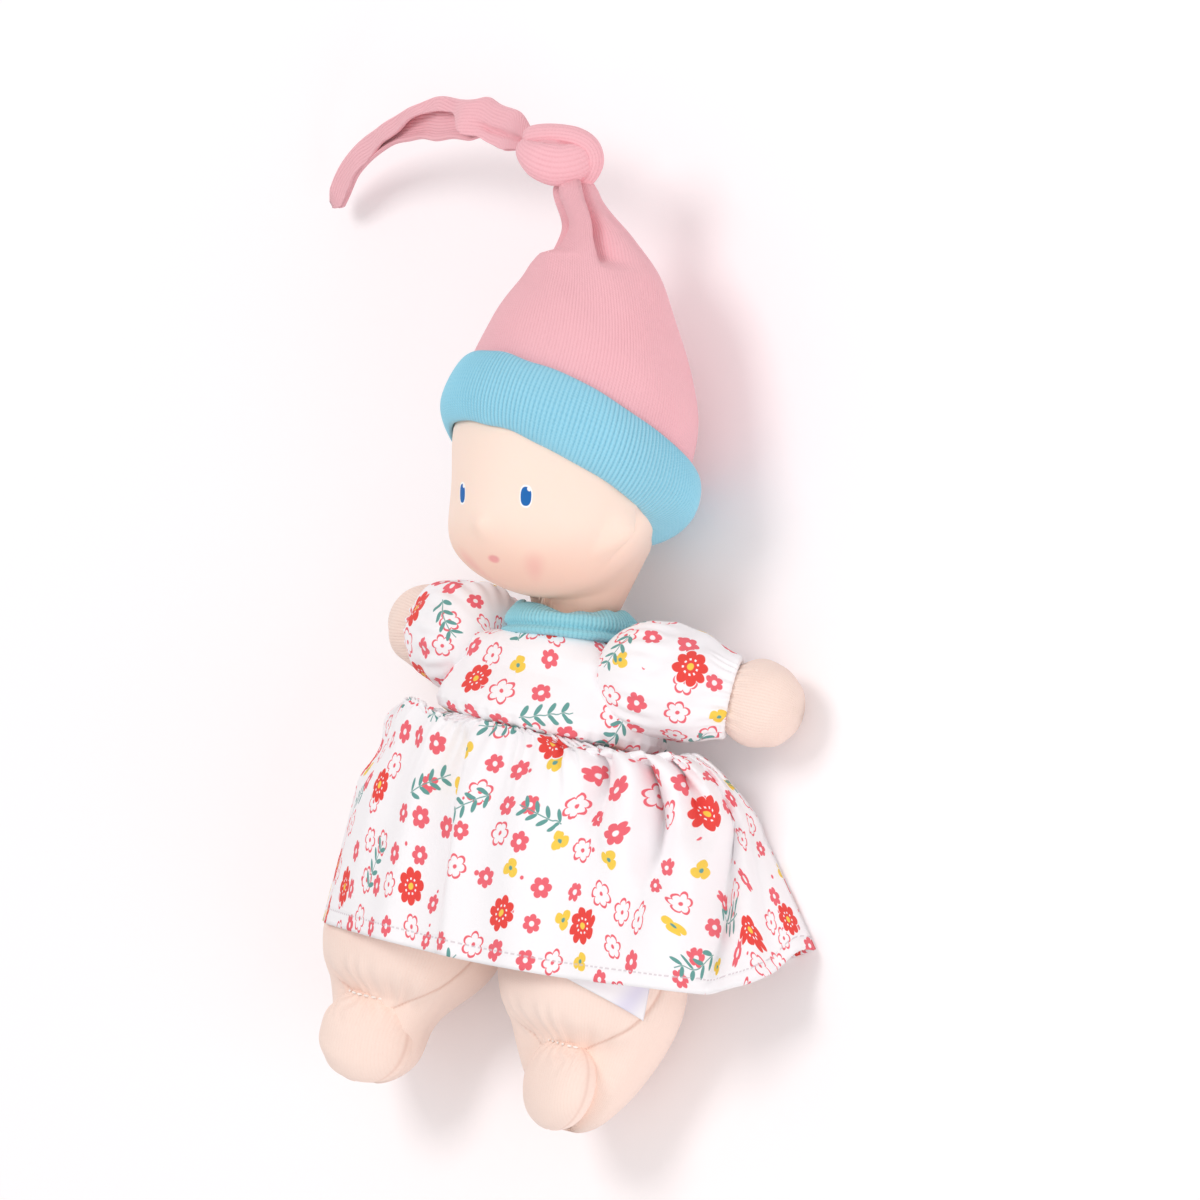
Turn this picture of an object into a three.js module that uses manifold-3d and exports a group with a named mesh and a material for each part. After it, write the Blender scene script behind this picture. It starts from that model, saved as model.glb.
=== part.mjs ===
// A soft doll with a hollow rubber head, lying on its back.
// Millimetres. +Z is up and out of the doll's chest, +Y points to its head and +X to its left hand.
// The doll is drawn with Y measured from its soles and Z from the surface that it lies on,
// and the finished group is then moved so that its origin is the rest point under its back.

import * as THREE from "three";
import { mergeVertices } from "three/addons/utils/BufferGeometryUtils.js";
import Module from "manifold-3d";

const wasm = await Module();
wasm.setup();

// Places along the body, from the soles
const REST_HEIGHT = 60;
const HIP_HEIGHT = 50;
const HEM_HEIGHT = 32;
const NECK_HEIGHT = 111;
const SHOULDER_DROP = 9;
const BODICE_LENGTH = 14.5;
const SHOULDER_HEIGHT = NECK_HEIGHT - SHOULDER_DROP;
const WAIST_HEIGHT = SHOULDER_HEIGHT - BODICE_LENGTH;
const BODY_AXIS_Z = 22;

// Clearances
const GAP = 0.3;
const FLAT_DEPTH = 0.5;
const FLOOR_BLOCK = 400;

// Cloth and rubber walls
const BAG_WALL = 0.8;
const DRESS_WALL = 0.8;
const HAT_WALL = 1.2;
const RUBBER_WALL = 2.2;

// Body bag
const CHEST_HALF_WIDTH = 21;
const WAIST_HALF_WIDTH = 23;
const BELLY_HALF_WIDTH = 25;
const CHEST_HALF_DEPTH = 14.5;
const BELLY_HALF_DEPTH = 16.5;
const BODY_TOP_RISE = 1.4;
const BODY_TOP_RADIUS = 13.2;

// Legs and feet
const HIP_RADIUS = 19;
const THIGH_HALF_WIDTH = 22;
const LEG_SPACING = 45;
const LEG_SPLAY = 6;
const LEG_TAPER = 0.47;
const HEEL_RISE = 8;
const HIP_FLEX = 60;
const HIP_BACK = 5;
const TOE_SPACING = 53;
const TOE_HEIGHT = 10;
const TOE_Z = 27;
const TOE_HALF_WIDTH = 9.8;
const TOE_HALF_LENGTH = 10;
const TOE_REACH = 10.5;
const BAG_MOUTH_RADIUS = 8;

// Arms, hands and sleeves
const SHOULDER_SPACING = 51;
const SHOULDER_Z = 23;
const ARM_DROOP = 30;
const ARM_ROOT_RADIUS = 8.6;
const WRIST_RADIUS = 6.4;
const HAND_RADIUS = 9.8;
const HAND_REACH = 25;
const SLEEVE_BALL_RADIUS = 12.6;
const SLEEVE_ROOT = -8.5;
const SLEEVE_REACH = 16.2;
const SLEEVE_PUCKERS = 9;
const PUCKER_DEPTH = 0.4;
const ELASTIC_RADIUS = 0.45;

// Dress
const BODICE_HEM_HALF_WIDTH = 28;
const BODICE_HEM_HALF_DEPTH = 20.5;
const BODICE_EASE = 1.8;
const BODICE_OVERHANG = 2.5;
const BODICE_TUCK = 0.8;
const BODICE_ARM_EASE = 1.5;
const BODICE_NECK_RISE = 3;
const WAISTBAND_WALL = 1;
const WAISTBAND_HEIGHT = 4;
const SKIRT_LEFT_REACH = 70;
const SKIRT_RIGHT_REACH = 50;
const SKIRT_HEM_RISE = 43.5;
const SKIRT_LEFT_LIFT = 20;
const SKIRT_RIGHT_LIFT = 3;
const SKIRT_PUFF = 0.06;
const SKIRT_LEFT_OPEN = 0.3;
const SKIRT_RIGHT_OPEN = 0.9;
const SKIRT_SEAM_DROP = 0.3;
const SKIRT_LEFT_SHELF = 5;
const FRONT_HEM_CURVE = 8;
const BACK_HEM_CURVE = 2.5;
const SKIRT_LEFT_ROUND = 0.8;
const SKIRT_RIGHT_ROUND = 0.45;
const SKIRT_FOLDS = 8;
const SKIRT_FOLD_DEPTH = 2.2;

// Head
const NECK_RADIUS = 9.6;
const NECK_GROOVE_RADIUS = 8.2;
const NECK_FLANGE_RADIUS = 10.6;
const NECK_BORE_RADIUS = 6.4;
const NECK_LENGTH = 15;
const HEAD_LEAN = 8;
const HEAD_TURN = 3;
const CHIN_RISE = 3.2;
const JAW_FORWARD = 3;
const JAW_SPREAD = 14;
const NAPE_FLATNESS = 0.12;
const NAPE_ANGLE = 126;
const NAPE_RISE = 17;
const NAPE_RADIUS = 11.4;
const FACE_TURN = -4.5;
const CRANIUM_RISE = 36;
const CROWN_RISE = 57;
const CRANIUM_RADIUS = 25;
const NOSE_RISE = 16;
const NOSE_BUMP = 1.3;
const CHEEK_RISE = 11;
const CHEEK_BUMP = 0.9;
const EAR_RISE = 19.5;
const EAR_ANGLE = 86;
const EAR_BUMP = 2.1;

// Collar and neck tie
const COLLAR_OUTER_RADIUS = 14.2;
const COLLAR_LOW = -4.6;
const COLLAR_HIGH = 2.6;
const TIE_RADIUS = 0.9;

// Hat
const HAT_EASE = 0.8;
const CUFF_WALL = 2.6;
const CUFF_HEIGHT = 16.5;
const CUFF_FRONT_LIFT = 10.5;
const CUFF_SIDE_LIFT = -4.6;
const HAT_TIP_RISE = 96;
const HAT_TIP_RADIUS = 5;
const HAT_TIP_SHIFT = -3.5;
const HAT_TIP_FORWARD = 3.6;
const HAT_FOLDS = 5;
const KNOT_SHIFT = -6;
const KNOT_FORWARD = 5.5;
const KNOT_RISE = 101.5;
const KNOT_RADIUS = 7.6;
const KNOT_CORE_RADIUS = 7.2;
const KNOT_WRAP_RADIUS = 4;
const TAIL_HALF_WIDTH = 4.6;
const TAIL_HALF_THICKNESS = 2.4;
// The tail's centre line from the middle of the knot, in the doll's own directions, chosen by hand.
const TAIL_ROUTE = [
  [-1, -1.5, 0.5],
  [-16, 3.5, -0.5],
  [-32, 3.5, -3.5],
  [-46, 1.5, -8.5],
  [-61, -3, -16],
  [-74.5, -10.5, -24],
  [-83, -20.5, -30.8],
];

// Care label
const LABEL_WALL = 0.5;
const LABEL_LOW = 26.5;
const LABEL_LENGTH = 13;
const LABEL_START = 20;
const LABEL_SWEEP = 58;

// Finishes
const rubberSkin = new THREE.MeshStandardMaterial({ color: 0xfde0d0, roughness: 0.55 });
const rubberPlug = new THREE.MeshStandardMaterial({ color: 0xe9cdbd, roughness: 0.7 });
const skinKnit = new THREE.MeshStandardMaterial({ color: 0xfbdcca, roughness: 0.95 });
const filling = new THREE.MeshStandardMaterial({ color: 0xf6f4ef, roughness: 1 });
const dressCotton = new THREE.MeshStandardMaterial({ color: 0xfdf8f8, roughness: 0.9 });
const blueRib = new THREE.MeshStandardMaterial({ color: 0x8fcfe6, roughness: 0.95 });
const pinkKnit = new THREE.MeshStandardMaterial({ color: 0xf6b2bb, roughness: 0.95 });
const elastic = new THREE.MeshStandardMaterial({ color: 0xf2efe9, roughness: 0.8 });
const satin = new THREE.MeshStandardMaterial({ color: 0xf7f4f8, roughness: 0.4 });

const TURN = 2 * Math.PI;
const radians = THREE.MathUtils.degToRad;
const mix = THREE.MathUtils.lerp;
const smooth = THREE.MathUtils.smoothstep;
const bump = (distance, width) => Math.exp(-((distance / width) ** 2));

// A solid from points and triangles, with its faces turned outwards.
function solidOf(points, triangles) {
  const vertProperties = new Float32Array(points.flatMap((p) => [p.x, p.y, p.z]));
  const build = (triVerts) => new wasm.Manifold(new wasm.Mesh({ numProp: 3, vertProperties, triVerts }));
  const made = build(new Uint32Array(triangles.flat()));
  if (made.volume() > 0) return made;
  return build(new Uint32Array(triangles.flatMap(([a, b, c]) => [a, c, b])));
}

// A solid from a closed three.js geometry.
function solidFrom(geometry) {
  const bare = geometry.clone();
  bare.deleteAttribute("normal");
  bare.deleteAttribute("uv");
  const merged = mergeVertices(bare, 1e-4);
  const place = merged.attributes.position;
  const points = Array.from({ length: place.count }, (_, i) => new THREE.Vector3().fromBufferAttribute(place, i));
  const order = merged.index.array;
  const triangles = [];
  for (let i = 0; i < order.length; i += 3) {
    const corners = [order[i], order[i + 1], order[i + 2]];
    if (new Set(corners).size === 3) triangles.push(corners);
  }
  return solidOf(points, triangles);
}

// A closed skin through rings of points. at(v, angle) is a ring's point, and v runs from 0 to 1.
function loft(rings, sides, at) {
  const points = [];
  for (let i = 0; i <= rings; i++)
    for (let j = 0; j < sides; j++) points.push(at(i / rings, (TURN * j) / sides));
  const centre = (ring) => ring.reduce((sum, p) => sum.add(p), new THREE.Vector3()).divideScalar(sides);
  const firstCap = points.length;
  const caps = [centre(points.slice(0, sides)), centre(points.slice(rings * sides))];
  points.push(...caps);
  const triangles = [];
  for (let i = 0; i < rings; i++)
    for (let j = 0; j < sides; j++) {
      const [a, b] = [i * sides + j, i * sides + ((j + 1) % sides)];
      triangles.push([a, b, b + sides], [a, b + sides, a + sides]);
    }
  for (let j = 0; j < sides; j++) {
    const [a, b] = [j, (j + 1) % sides];
    triangles.push([firstCap, b, a], [firstCap + 1, rings * sides + a, rings * sides + b]);
  }
  return solidOf(points, triangles);
}

// A closed ring: at(a, b) is a point of the section at angle a round the ring and b round the section.
function loftRing(sides, corners, at) {
  const points = [];
  for (let i = 0; i < sides; i++)
    for (let j = 0; j < corners; j++) points.push(at((TURN * i) / sides, (TURN * (j + 0.5)) / corners));
  const triangles = [];
  for (let i = 0; i < sides; i++)
    for (let j = 0; j < corners; j++) {
      const [here, next] = [i * corners, ((i + 1) % sides) * corners];
      const [k, l] = [j, (j + 1) % corners];
      triangles.push([here + k, here + l, next + l], [here + k, next + l, next + k]);
    }
  return solidOf(points, triangles);
}

// A sheet with a thickness: outer(u, v) and inner(u, v) are its two faces, u and v running from 0 to 1.
function sheet(across, down, outer, inner) {
  const points = [];
  for (const face of [outer, inner])
    for (let i = 0; i <= down; i++) for (let j = 0; j <= across; j++) points.push(face(j / across, i / down));
  const row = across + 1;
  const back = row * (down + 1);
  const triangles = [];
  const quad = (a, b, c, d) => triangles.push([a, b, c], [a, c, d]);
  for (let i = 0; i < down; i++)
    for (let j = 0; j < across; j++) {
      const a = i * row + j;
      quad(a, a + 1, a + row + 1, a + row);
      quad(back + a, back + a + row, back + a + row + 1, back + a + 1);
    }
  for (let j = 0; j < across; j++) {
    const last = down * row + j;
    quad(j + 1, j, back + j, back + j + 1);
    quad(last, last + 1, back + last + 1, back + last);
  }
  for (let i = 0; i < down; i++) {
    const [a, b] = [i * row, i * row + across];
    quad(a, a + row, back + a + row, back + a);
    quad(b + row, b, back + b, back + b + row);
  }
  return solidOf(points, triangles);
}

const ball = (radius, centre, sides) =>
  solidFrom(new THREE.SphereGeometry(radius, sides, sides / 2).translate(centre.x, centre.y, centre.z));

// A faceted cut that clears the round of the given radius everywhere.
const clearing = (radius, sides) => radius / Math.cos(Math.PI / sides);
const ballCut = (radius, centre, sides) => ball(clearing(clearing(radius, sides), sides), centre, sides);

// A turned solid: the outline is a list of [radius, height] about the Y axis.
const turned = (outline, sides) =>
  solidFrom(new THREE.LatheGeometry(outline.map(([r, y]) => new THREE.Vector2(r, y)), sides));

const ring = (radius, tube, sides, height) =>
  solidFrom(new THREE.TorusGeometry(radius, tube, 6, sides).rotateX(Math.PI / 2).translate(0, height, 0));

// A solid moved by a three.js matrix.
function moved(solid, matrix) {
  return solid.transform(matrix.elements);
}

// The form above the surface that the doll lies on.
function aboveFloor(form) {
  const block = new THREE.BoxGeometry(FLOOR_BLOCK, FLOOR_BLOCK * 2, FLOOR_BLOCK);
  return form.subtract(solidFrom(block.translate(0, 0, -FLOOR_BLOCK / 2)));
}

// The heights of a rounded end crowd together near its tip.
const eased = (v) => (1 - Math.cos(Math.PI * mix(0.06, 0.94, v))) / 2;

// The hat's rings about the head, and how far the head sits forward so that the cuff lies on the surface
const crownInner = CRANIUM_RADIUS + HAT_EASE;
const crownOuter = crownInner + HAT_WALL;
const cuffOuter = crownOuter + GAP + CUFF_WALL;
const cuffMiddle = cuffOuter - CUFF_WALL / 2;
const cuffBackLean = ((CUFF_FRONT_LIFT / cuffMiddle) * CUFF_HEIGHT) / 2;
const HEAD_FORWARD = cuffOuter + cuffBackLean - FLAT_DEPTH - BODY_AXIS_Z;

// The legs lie on the back panel of the skirt.
const hipZ = HIP_RADIUS + DRESS_WALL + GAP;

// The waist: body bag, elastic and skirt, each outside the one before
const BODY_TOP = SHOULDER_HEIGHT + BODY_TOP_RISE;
const WAIST_HALF_DEPTH = (CHEST_HALF_DEPTH + BELLY_HALF_DEPTH) / 2;
const skirtTop = 3 * GAP + WAISTBAND_WALL + DRESS_WALL;
const skirtTopHeight = WAIST_HEIGHT - BODICE_OVERHANG - GAP;

const neckFrame = new THREE.Matrix4()
  .makeTranslation(0, NECK_HEIGHT, BODY_AXIS_Z)
  .multiply(new THREE.Matrix4().makeRotationZ(radians(HEAD_LEAN)));
const headFrame = neckFrame.clone().multiply(new THREE.Matrix4().makeRotationY(radians(-HEAD_TURN)));
const shoulder = (side) => new THREE.Vector3((side * SHOULDER_SPACING) / 2, SHOULDER_HEIGHT, SHOULDER_Z);
const armFrame = (side) => {
  const lie = new THREE.Matrix4().makeRotationZ((-side * Math.PI) / 2);
  const droop = new THREE.Matrix4().makeRotationY(side * radians(ARM_DROOP));
  return new THREE.Matrix4().setPosition(shoulder(side)).multiply(droop).multiply(lie);
};

// Body bag and its filling

// Half width and half depth at a height, easing from one [height, width, depth] station to the next.
function sectionAt(stations, y) {
  const found = stations.findIndex(([height]) => y <= height);
  const next = found < 0 ? stations.length - 1 : Math.max(1, found);
  const [[low, width, depth], [high, nextWidth, nextDepth]] = [stations[next - 1], stations[next]];
  const share = smooth(y, low, high);
  return [mix(width, nextWidth, share), mix(depth, nextDepth, share)];
}

const trunkStations = [
  [HIP_HEIGHT, BELLY_HALF_WIDTH, BELLY_HALF_DEPTH],
  [mix(HIP_HEIGHT, WAIST_HEIGHT, 0.65), BELLY_HALF_WIDTH, BELLY_HALF_DEPTH],
  [skirtTopHeight - WAISTBAND_HEIGHT, WAIST_HALF_WIDTH, WAIST_HALF_DEPTH],
  [WAIST_HEIGHT, WAIST_HALF_WIDTH, WAIST_HALF_DEPTH],
  [mix(WAIST_HEIGHT, SHOULDER_HEIGHT, 0.7), CHEST_HALF_WIDTH, CHEST_HALF_DEPTH],
  [BODY_TOP, BODY_TOP_RADIUS, BODY_TOP_RADIUS],
];

// The stuffed trunk, drawn in by inset all round.
function trunk(inset, rings, sides) {
  return loft(rings, sides, (v, a) => {
    const y = mix(HIP_HEIGHT, BODY_TOP - inset, v);
    const [width, depth] = sectionAt(trunkStations, y);
    return new THREE.Vector3((width - inset) * Math.cos(a), y, BODY_AXIS_Z + (depth - inset) * Math.sin(a));
  });
}

// The round seat that both hip balls turn in, open as far as the thighs swing.
function hipSeat() {
  const radius = HIP_RADIUS + GAP;
  const far = 4 * HIP_RADIUS;
  const centre = new THREE.Vector2(HIP_HEIGHT, hipZ);
  const on = (angle) => new THREE.Vector2(Math.cos(angle), Math.sin(angle)).multiplyScalar(radius).add(centre);
  const front = radians(90 - HIP_FLEX);
  const back = radians(HIP_BACK - 90);
  const outline = new THREE.Shape();
  const ahead = on(front).add(new THREE.Vector2(-Math.sin(front), Math.cos(front)).multiplyScalar(far));
  const behind = on(back).add(new THREE.Vector2(Math.sin(back), -Math.cos(back)).multiplyScalar(far));
  outline.moveTo(ahead.x, ahead.y);
  outline.lineTo(on(front).x, on(front).y);
  outline.absarc(centre.x, centre.y, radius, front, back, true);
  outline.lineTo(behind.x, behind.y);
  outline.closePath();
  const width = 4 * BELLY_HALF_WIDTH;
  const block = new THREE.ExtrudeGeometry(outline, { depth: width, bevelEnabled: false, curveSegments: 10 });
  const across = new THREE.Matrix4().makeBasis(
    new THREE.Vector3(0, 1, 0),
    new THREE.Vector3(0, 0, 1),
    new THREE.Vector3(1, 0, 0),
  );
  return solidFrom(block.translate(0, 0, -width / 2).applyMatrix4(across));
}

// The space round the head's neck: its flange, its groove and the neck above.
function neckSocket() {
  const flangeTop = -NECK_LENGTH * 0.72;
  const grooveTop = -NECK_LENGTH * 0.42;
  const tieFoot = (flangeTop + grooveTop) / 2 - TIE_RADIUS;
  const wide = clearing(NECK_FLANGE_RADIUS + GAP, 16);
  const narrow = clearing(NECK_GROOVE_RADIUS + GAP, 16);
  const outline = [
    [0, -NECK_LENGTH - GAP],
    [wide, -NECK_LENGTH - GAP],
    [wide, flangeTop + GAP],
    [narrow, flangeTop + GAP],
    [narrow, tieFoot - GAP],
    [wide, tieFoot - GAP],
    [wide, NECK_LENGTH],
    [0, NECK_LENGTH],
  ];
  return moved(turned(outline, 16), neckFrame);
}

// What the legs, the sleeves and the neck take out of the trunk.
function limbRoom() {
  let room = hipSeat().add(neckSocket());
  for (const side of [1, -1]) room = room.add(ballCut(SLEEVE_BALL_RADIUS + GAP, shoulder(side), 12));
  return room;
}

const bodyBag = () => trunk(0, 10, 18).subtract(trunk(BAG_WALL, 10, 18)).subtract(limbRoom());
const bodyFilling = () => trunk(BAG_WALL + GAP, 10, 14).subtract(limbRoom());

// Legs and feet

const legTaper = (t) => 1 - LEG_TAPER * t * t;
const legZ = (t) => HIP_RADIUS * legTaper(t) + DRESS_WALL + GAP + HEEL_RISE * t ** 3;

// A stuffed leg: a hip ball that runs into a thigh and tapers to the heel, which is lifted a little.
function leg(side, inset, rings, sides) {
  const top = HIP_HEIGHT + HIP_RADIUS - inset;
  return loft(rings, sides, (v, a) => {
    const y = mix(top, inset, eased(v));
    const t = Math.max(0, (HIP_HEIGHT - y) / (HIP_HEIGHT - inset));
    const ballShare = Math.max(0, (y - HIP_HEIGHT) / (HIP_RADIUS - inset));
    const swell = Math.sqrt(1 - ballShare ** 2) * Math.sqrt(1 - t ** 6);
    const taper = legTaper(t);
    const x = LEG_SPACING / 2 + LEG_SPLAY * t + (THIGH_HALF_WIDTH * taper - inset) * swell * Math.cos(a);
    const z = legZ(t) + (HIP_RADIUS * taper - inset) * swell * Math.sin(a);
    return new THREE.Vector3(side * x, y, z);
  });
}

function toe(side, inset) {
  const form = new THREE.SphereGeometry(1, 16, 10).rotateX(Math.PI / 2);
  form.scale(TOE_HALF_WIDTH - inset, TOE_HALF_LENGTH - inset, TOE_REACH - inset);
  return solidFrom(form.translate((side * TOE_SPACING) / 2, TOE_HEIGHT, TOE_Z));
}

function legBag(side) {
  const mouth = new THREE.CylinderGeometry(BAG_MOUTH_RADIUS, BAG_MOUTH_RADIUS, HIP_RADIUS, 12);
  const top = HIP_HEIGHT + HIP_RADIUS;
  const opening = solidFrom(mouth.translate((side * LEG_SPACING) / 2, top, hipZ));
  const hollow = leg(side, BAG_WALL, 8, 12).subtract(toe(side, -GAP - BAG_WALL));
  return leg(side, 0, 13, 18).subtract(toe(side, -GAP)).subtract(hollow).subtract(opening);
}

const legFilling = (side) =>
  leg(side, BAG_WALL + GAP, 8, 12).subtract(toe(side, -2 * GAP - BAG_WALL));

// The blank satin label, lying on the left thigh with its end in the side seam.
function careLabel() {
  const face = (stand) => (u, v) => {
    const angle = radians(LABEL_START + LABEL_SWEEP * u);
    const y = LABEL_LOW + LABEL_LENGTH * v + 4 * u;
    const t = (HIP_HEIGHT - y) / HIP_HEIGHT;
    const taper = legTaper(t);
    const swell = Math.sqrt(1 - t ** 6);
    const x = LEG_SPACING / 2 + LEG_SPLAY * t + (THIGH_HALF_WIDTH * taper * swell + stand) * Math.cos(angle);
    const z = legZ(t) + (HIP_RADIUS * taper * swell + stand) * Math.sin(angle);
    return new THREE.Vector3(x, y, z);
  };
  return sheet(6, 2, face(GAP + LABEL_WALL), face(GAP));
}

// Arms, hands and sleeves

// A stuffed arm along its own Y axis: root ball, upper arm, drawn-in wrist and round hand.
function arm(inset, steps, sides) {
  const hand = HAND_RADIUS - inset;
  const wrist = WRIST_RADIUS - inset;
  const root = ARM_ROOT_RADIUS - inset;
  const crease = Math.acos(wrist / hand);
  const wristHeight = HAND_REACH - hand * Math.sin(crease);
  const outline = new THREE.Path();
  outline.absarc(0, 0, root, -Math.PI / 2, 0);
  outline.bezierCurveTo(root, wristHeight * 0.6, wrist, wristHeight * 0.6, wrist, wristHeight);
  outline.absarc(0, HAND_REACH, hand, -crease, Math.PI / 2);
  return solidFrom(new THREE.LatheGeometry(outline.getPoints(steps), sides));
}

function armBag() {
  const mouth = new THREE.CylinderGeometry(BAG_MOUTH_RADIUS / 2, BAG_MOUTH_RADIUS / 2, ARM_ROOT_RADIUS, 12);
  return arm(0, 3, 16).subtract(arm(BAG_WALL, 2, 10)).subtract(solidFrom(mouth.translate(0, -ARM_ROOT_RADIUS, 0)));
}

// The gathered end of a sleeve clears the elastic round the wrist.
const sleeveEnd = WRIST_RADIUS + 2 * GAP + 2 * ELASTIC_RADIUS + 2 * PUCKER_DEPTH + DRESS_WALL;

// A short puffed sleeve round the arm, gathered into puckers at the wrist.
function sleeveForm(inset, pucker, from, to, rings, sides) {
  return loft(rings, sides, (v, a) => {
    const y = mix(from, to, v);
    const ballRadius = Math.sqrt(SLEEVE_BALL_RADIUS ** 2 - Math.min(y, 0) ** 2);
    const draw = smooth(y, SLEEVE_REACH * 0.3, SLEEVE_REACH);
    const radius = mix(ballRadius, sleeveEnd, draw) + pucker * draw * Math.cos(SLEEVE_PUCKERS * a) - inset;
    return new THREE.Vector3(radius * Math.cos(a), y, radius * Math.sin(a));
  });
}

function sleeve() {
  const outside = sleeveForm(0, PUCKER_DEPTH, SLEEVE_ROOT, SLEEVE_REACH, 8, 36);
  return outside.subtract(sleeveForm(DRESS_WALL + PUCKER_DEPTH, 0, SLEEVE_ROOT - 1, SLEEVE_REACH + 1, 8, 18));
}

const sleeveElastic = () => ring(WRIST_RADIUS + GAP + ELASTIC_RADIUS, ELASTIC_RADIUS, 16, SLEEVE_REACH - 1);

// Dress

// The bodice follows the chest with some ease and swells over the waist seam.
const bodiceTop = NECK_HEIGHT + COLLAR_LOW + BODICE_NECK_RISE;
const bodiceChest = CHEST_HALF_WIDTH + BODICE_EASE;
const bodiceDepth = CHEST_HALF_DEPTH + BODICE_EASE;
const bodiceStations = [
  [WAIST_HEIGHT - BODICE_OVERHANG, BODICE_HEM_HALF_WIDTH - BODICE_TUCK, BODICE_HEM_HALF_DEPTH - BODICE_TUCK],
  [WAIST_HEIGHT + BODICE_OVERHANG, BODICE_HEM_HALF_WIDTH, BODICE_HEM_HALF_DEPTH],
  [mix(WAIST_HEIGHT, SHOULDER_HEIGHT, 0.7), bodiceChest + BODICE_ARM_EASE, bodiceDepth],
  [SHOULDER_HEIGHT, bodiceChest, bodiceDepth],
  [bodiceTop, COLLAR_OUTER_RADIUS - BODICE_EASE, COLLAR_OUTER_RADIUS - BODICE_EASE],
];

function bodiceForm(inset, from, to, rings, sides) {
  return loft(rings, sides, (v, a) => {
    const y = mix(from, to, v);
    const [width, depth] = sectionAt(bodiceStations, y);
    return new THREE.Vector3((width - inset) * Math.cos(a), y, BODY_AXIS_Z + (depth - inset) * Math.sin(a));
  });
}

function bodice() {
  const low = WAIST_HEIGHT - BODICE_OVERHANG;
  const outside = bodiceForm(0, low, bodiceTop, 9, 26);
  let form = outside.subtract(bodiceForm(DRESS_WALL, low - 1, bodiceTop + 1, 9, 26));
  for (const side of [1, -1]) form = form.subtract(ballCut(SLEEVE_BALL_RADIUS + 2 * GAP, shoulder(side), 16));
  const neckHoleRadius = clearing(COLLAR_OUTER_RADIUS + GAP, 24);
  const neckHole = new THREE.CylinderGeometry(neckHoleRadius, neckHoleRadius, 40, 24);
  return form.subtract(moved(solidFrom(neckHole.translate(0, COLLAR_LOW - GAP + 20, 0)), neckFrame));
}

// The ribbed collar: a folded band with a groove round it, about the neck's own axis.
function collar() {
  const inner = NECK_RADIUS + 2 * GAP;
  const outer = COLLAR_OUTER_RADIUS;
  const fold = mix(COLLAR_LOW, COLLAR_HIGH, 0.36);
  const outline = [
    [inner + 0.4, COLLAR_LOW],
    [outer - 0.8, COLLAR_LOW],
    [outer, COLLAR_LOW + 0.8],
    [outer, fold - 0.7],
    [outer - 0.9, fold],
    [outer - 0.3, fold + 0.8],
    [outer - 0.7, mix(fold, COLLAR_HIGH, 0.6)],
    [outer - 2, COLLAR_HIGH - 0.2],
    [mix(inner, outer, 0.35), COLLAR_HIGH],
    [inner, COLLAR_HIGH - 0.9],
    [inner + 0.4, COLLAR_LOW],
  ];
  return turned(outline, 24);
}

// The skirt's outside, from the waist (v 0) to the hem (v 1). The share runs across the panel from
// the right side seam to the left one, over the belly for the front panel and along the floor for the back.
function skirtPoint(front, share, row, inset) {
  const angle = Math.PI * share;
  const v = row ** 2.2;
  const left = share > 0.5;
  const reach = left ? SKIRT_LEFT_REACH : SKIRT_RIGHT_REACH;
  const lift = left ? SKIRT_LEFT_LIFT : SKIRT_RIGHT_LIFT;
  const open = mix(left ? SKIRT_LEFT_OPEN : SKIRT_RIGHT_OPEN, 1, v) * smooth(v, 0, SKIRT_PUFF);
  const halfWidth = mix(WAIST_HALF_WIDTH + skirtTop, reach, open) - inset;
  const seamZ = mix(BODY_AXIS_Z, DRESS_WALL + GAP, smooth(v, 0, SKIRT_SEAM_DROP));
  const x = -halfWidth * Math.cos(angle);
  const hem = HEM_HEIGHT + lift * Math.abs(Math.cos(angle)) ** (front ? FRONT_HEM_CURVE : BACK_HEM_CURVE);
  const shelfShare = smooth(v, 0.02, SKIRT_PUFF) * (1 - smooth(v, SKIRT_PUFF, 0.35));
  const shelf = left ? SKIRT_LEFT_SHELF * Math.cos(angle) ** 2 * shelfShare : 0;
  const y = mix(skirtTopHeight, hem, v) + shelf - inset * (1 - smooth(v, 0, 0.3));
  if (front) {
    const deepen = mix(0.6, 1.3, smooth(share, 0.35, 0.75));
    const ripple = SKIRT_FOLD_DEPTH * deepen * (0.5 + 0.5 * Math.cos(SKIRT_FOLDS * TURN * share));
    const top = mix(BODY_AXIS_Z + WAIST_HALF_DEPTH + skirtTop, SKIRT_HEM_RISE, smooth(v, 0, 0.4));
    const crown = Math.sin(angle) ** mix(1, left ? SKIRT_LEFT_ROUND : SKIRT_RIGHT_ROUND, smooth(v, 0, 0.4));
    return new THREE.Vector3(x, y, seamZ + GAP / 2 + (top - seamZ - inset + ripple * smooth(v, 0, 0.5)) * crown);
  }
  const drop = mix(WAIST_HALF_DEPTH + skirtTop, seamZ, smooth(v, 0, 0.3));
  const z = seamZ - GAP / 2 - (drop - inset) * Math.sin(angle);
  return new THREE.Vector3(x, y, Math.max(inset, z));
}

const skirtPanel = (front, across, down) =>
  sheet(
    across,
    down,
    (u, v) => skirtPoint(front, u, v, 0),
    (u, v) => skirtPoint(front, u, v, DRESS_WALL),
  );

// The waist elastic: a flat band between the body bag and the top of the skirt.
const waistElastic = () =>
  loftRing(24, 4, (a, b) => {
    const out = 2 * GAP + WAISTBAND_WALL * (Math.cos(b) > 0 ? 1 : 0);
    const y = skirtTopHeight - WAISTBAND_HEIGHT * (Math.sin(b) > 0 ? 0.1 : 1);
    const [width, depth] = [WAIST_HALF_WIDTH + out, WAIST_HALF_DEPTH + out];
    return new THREE.Vector3(width * Math.cos(a), y, BODY_AXIS_Z + depth * Math.sin(a));
  });

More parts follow.
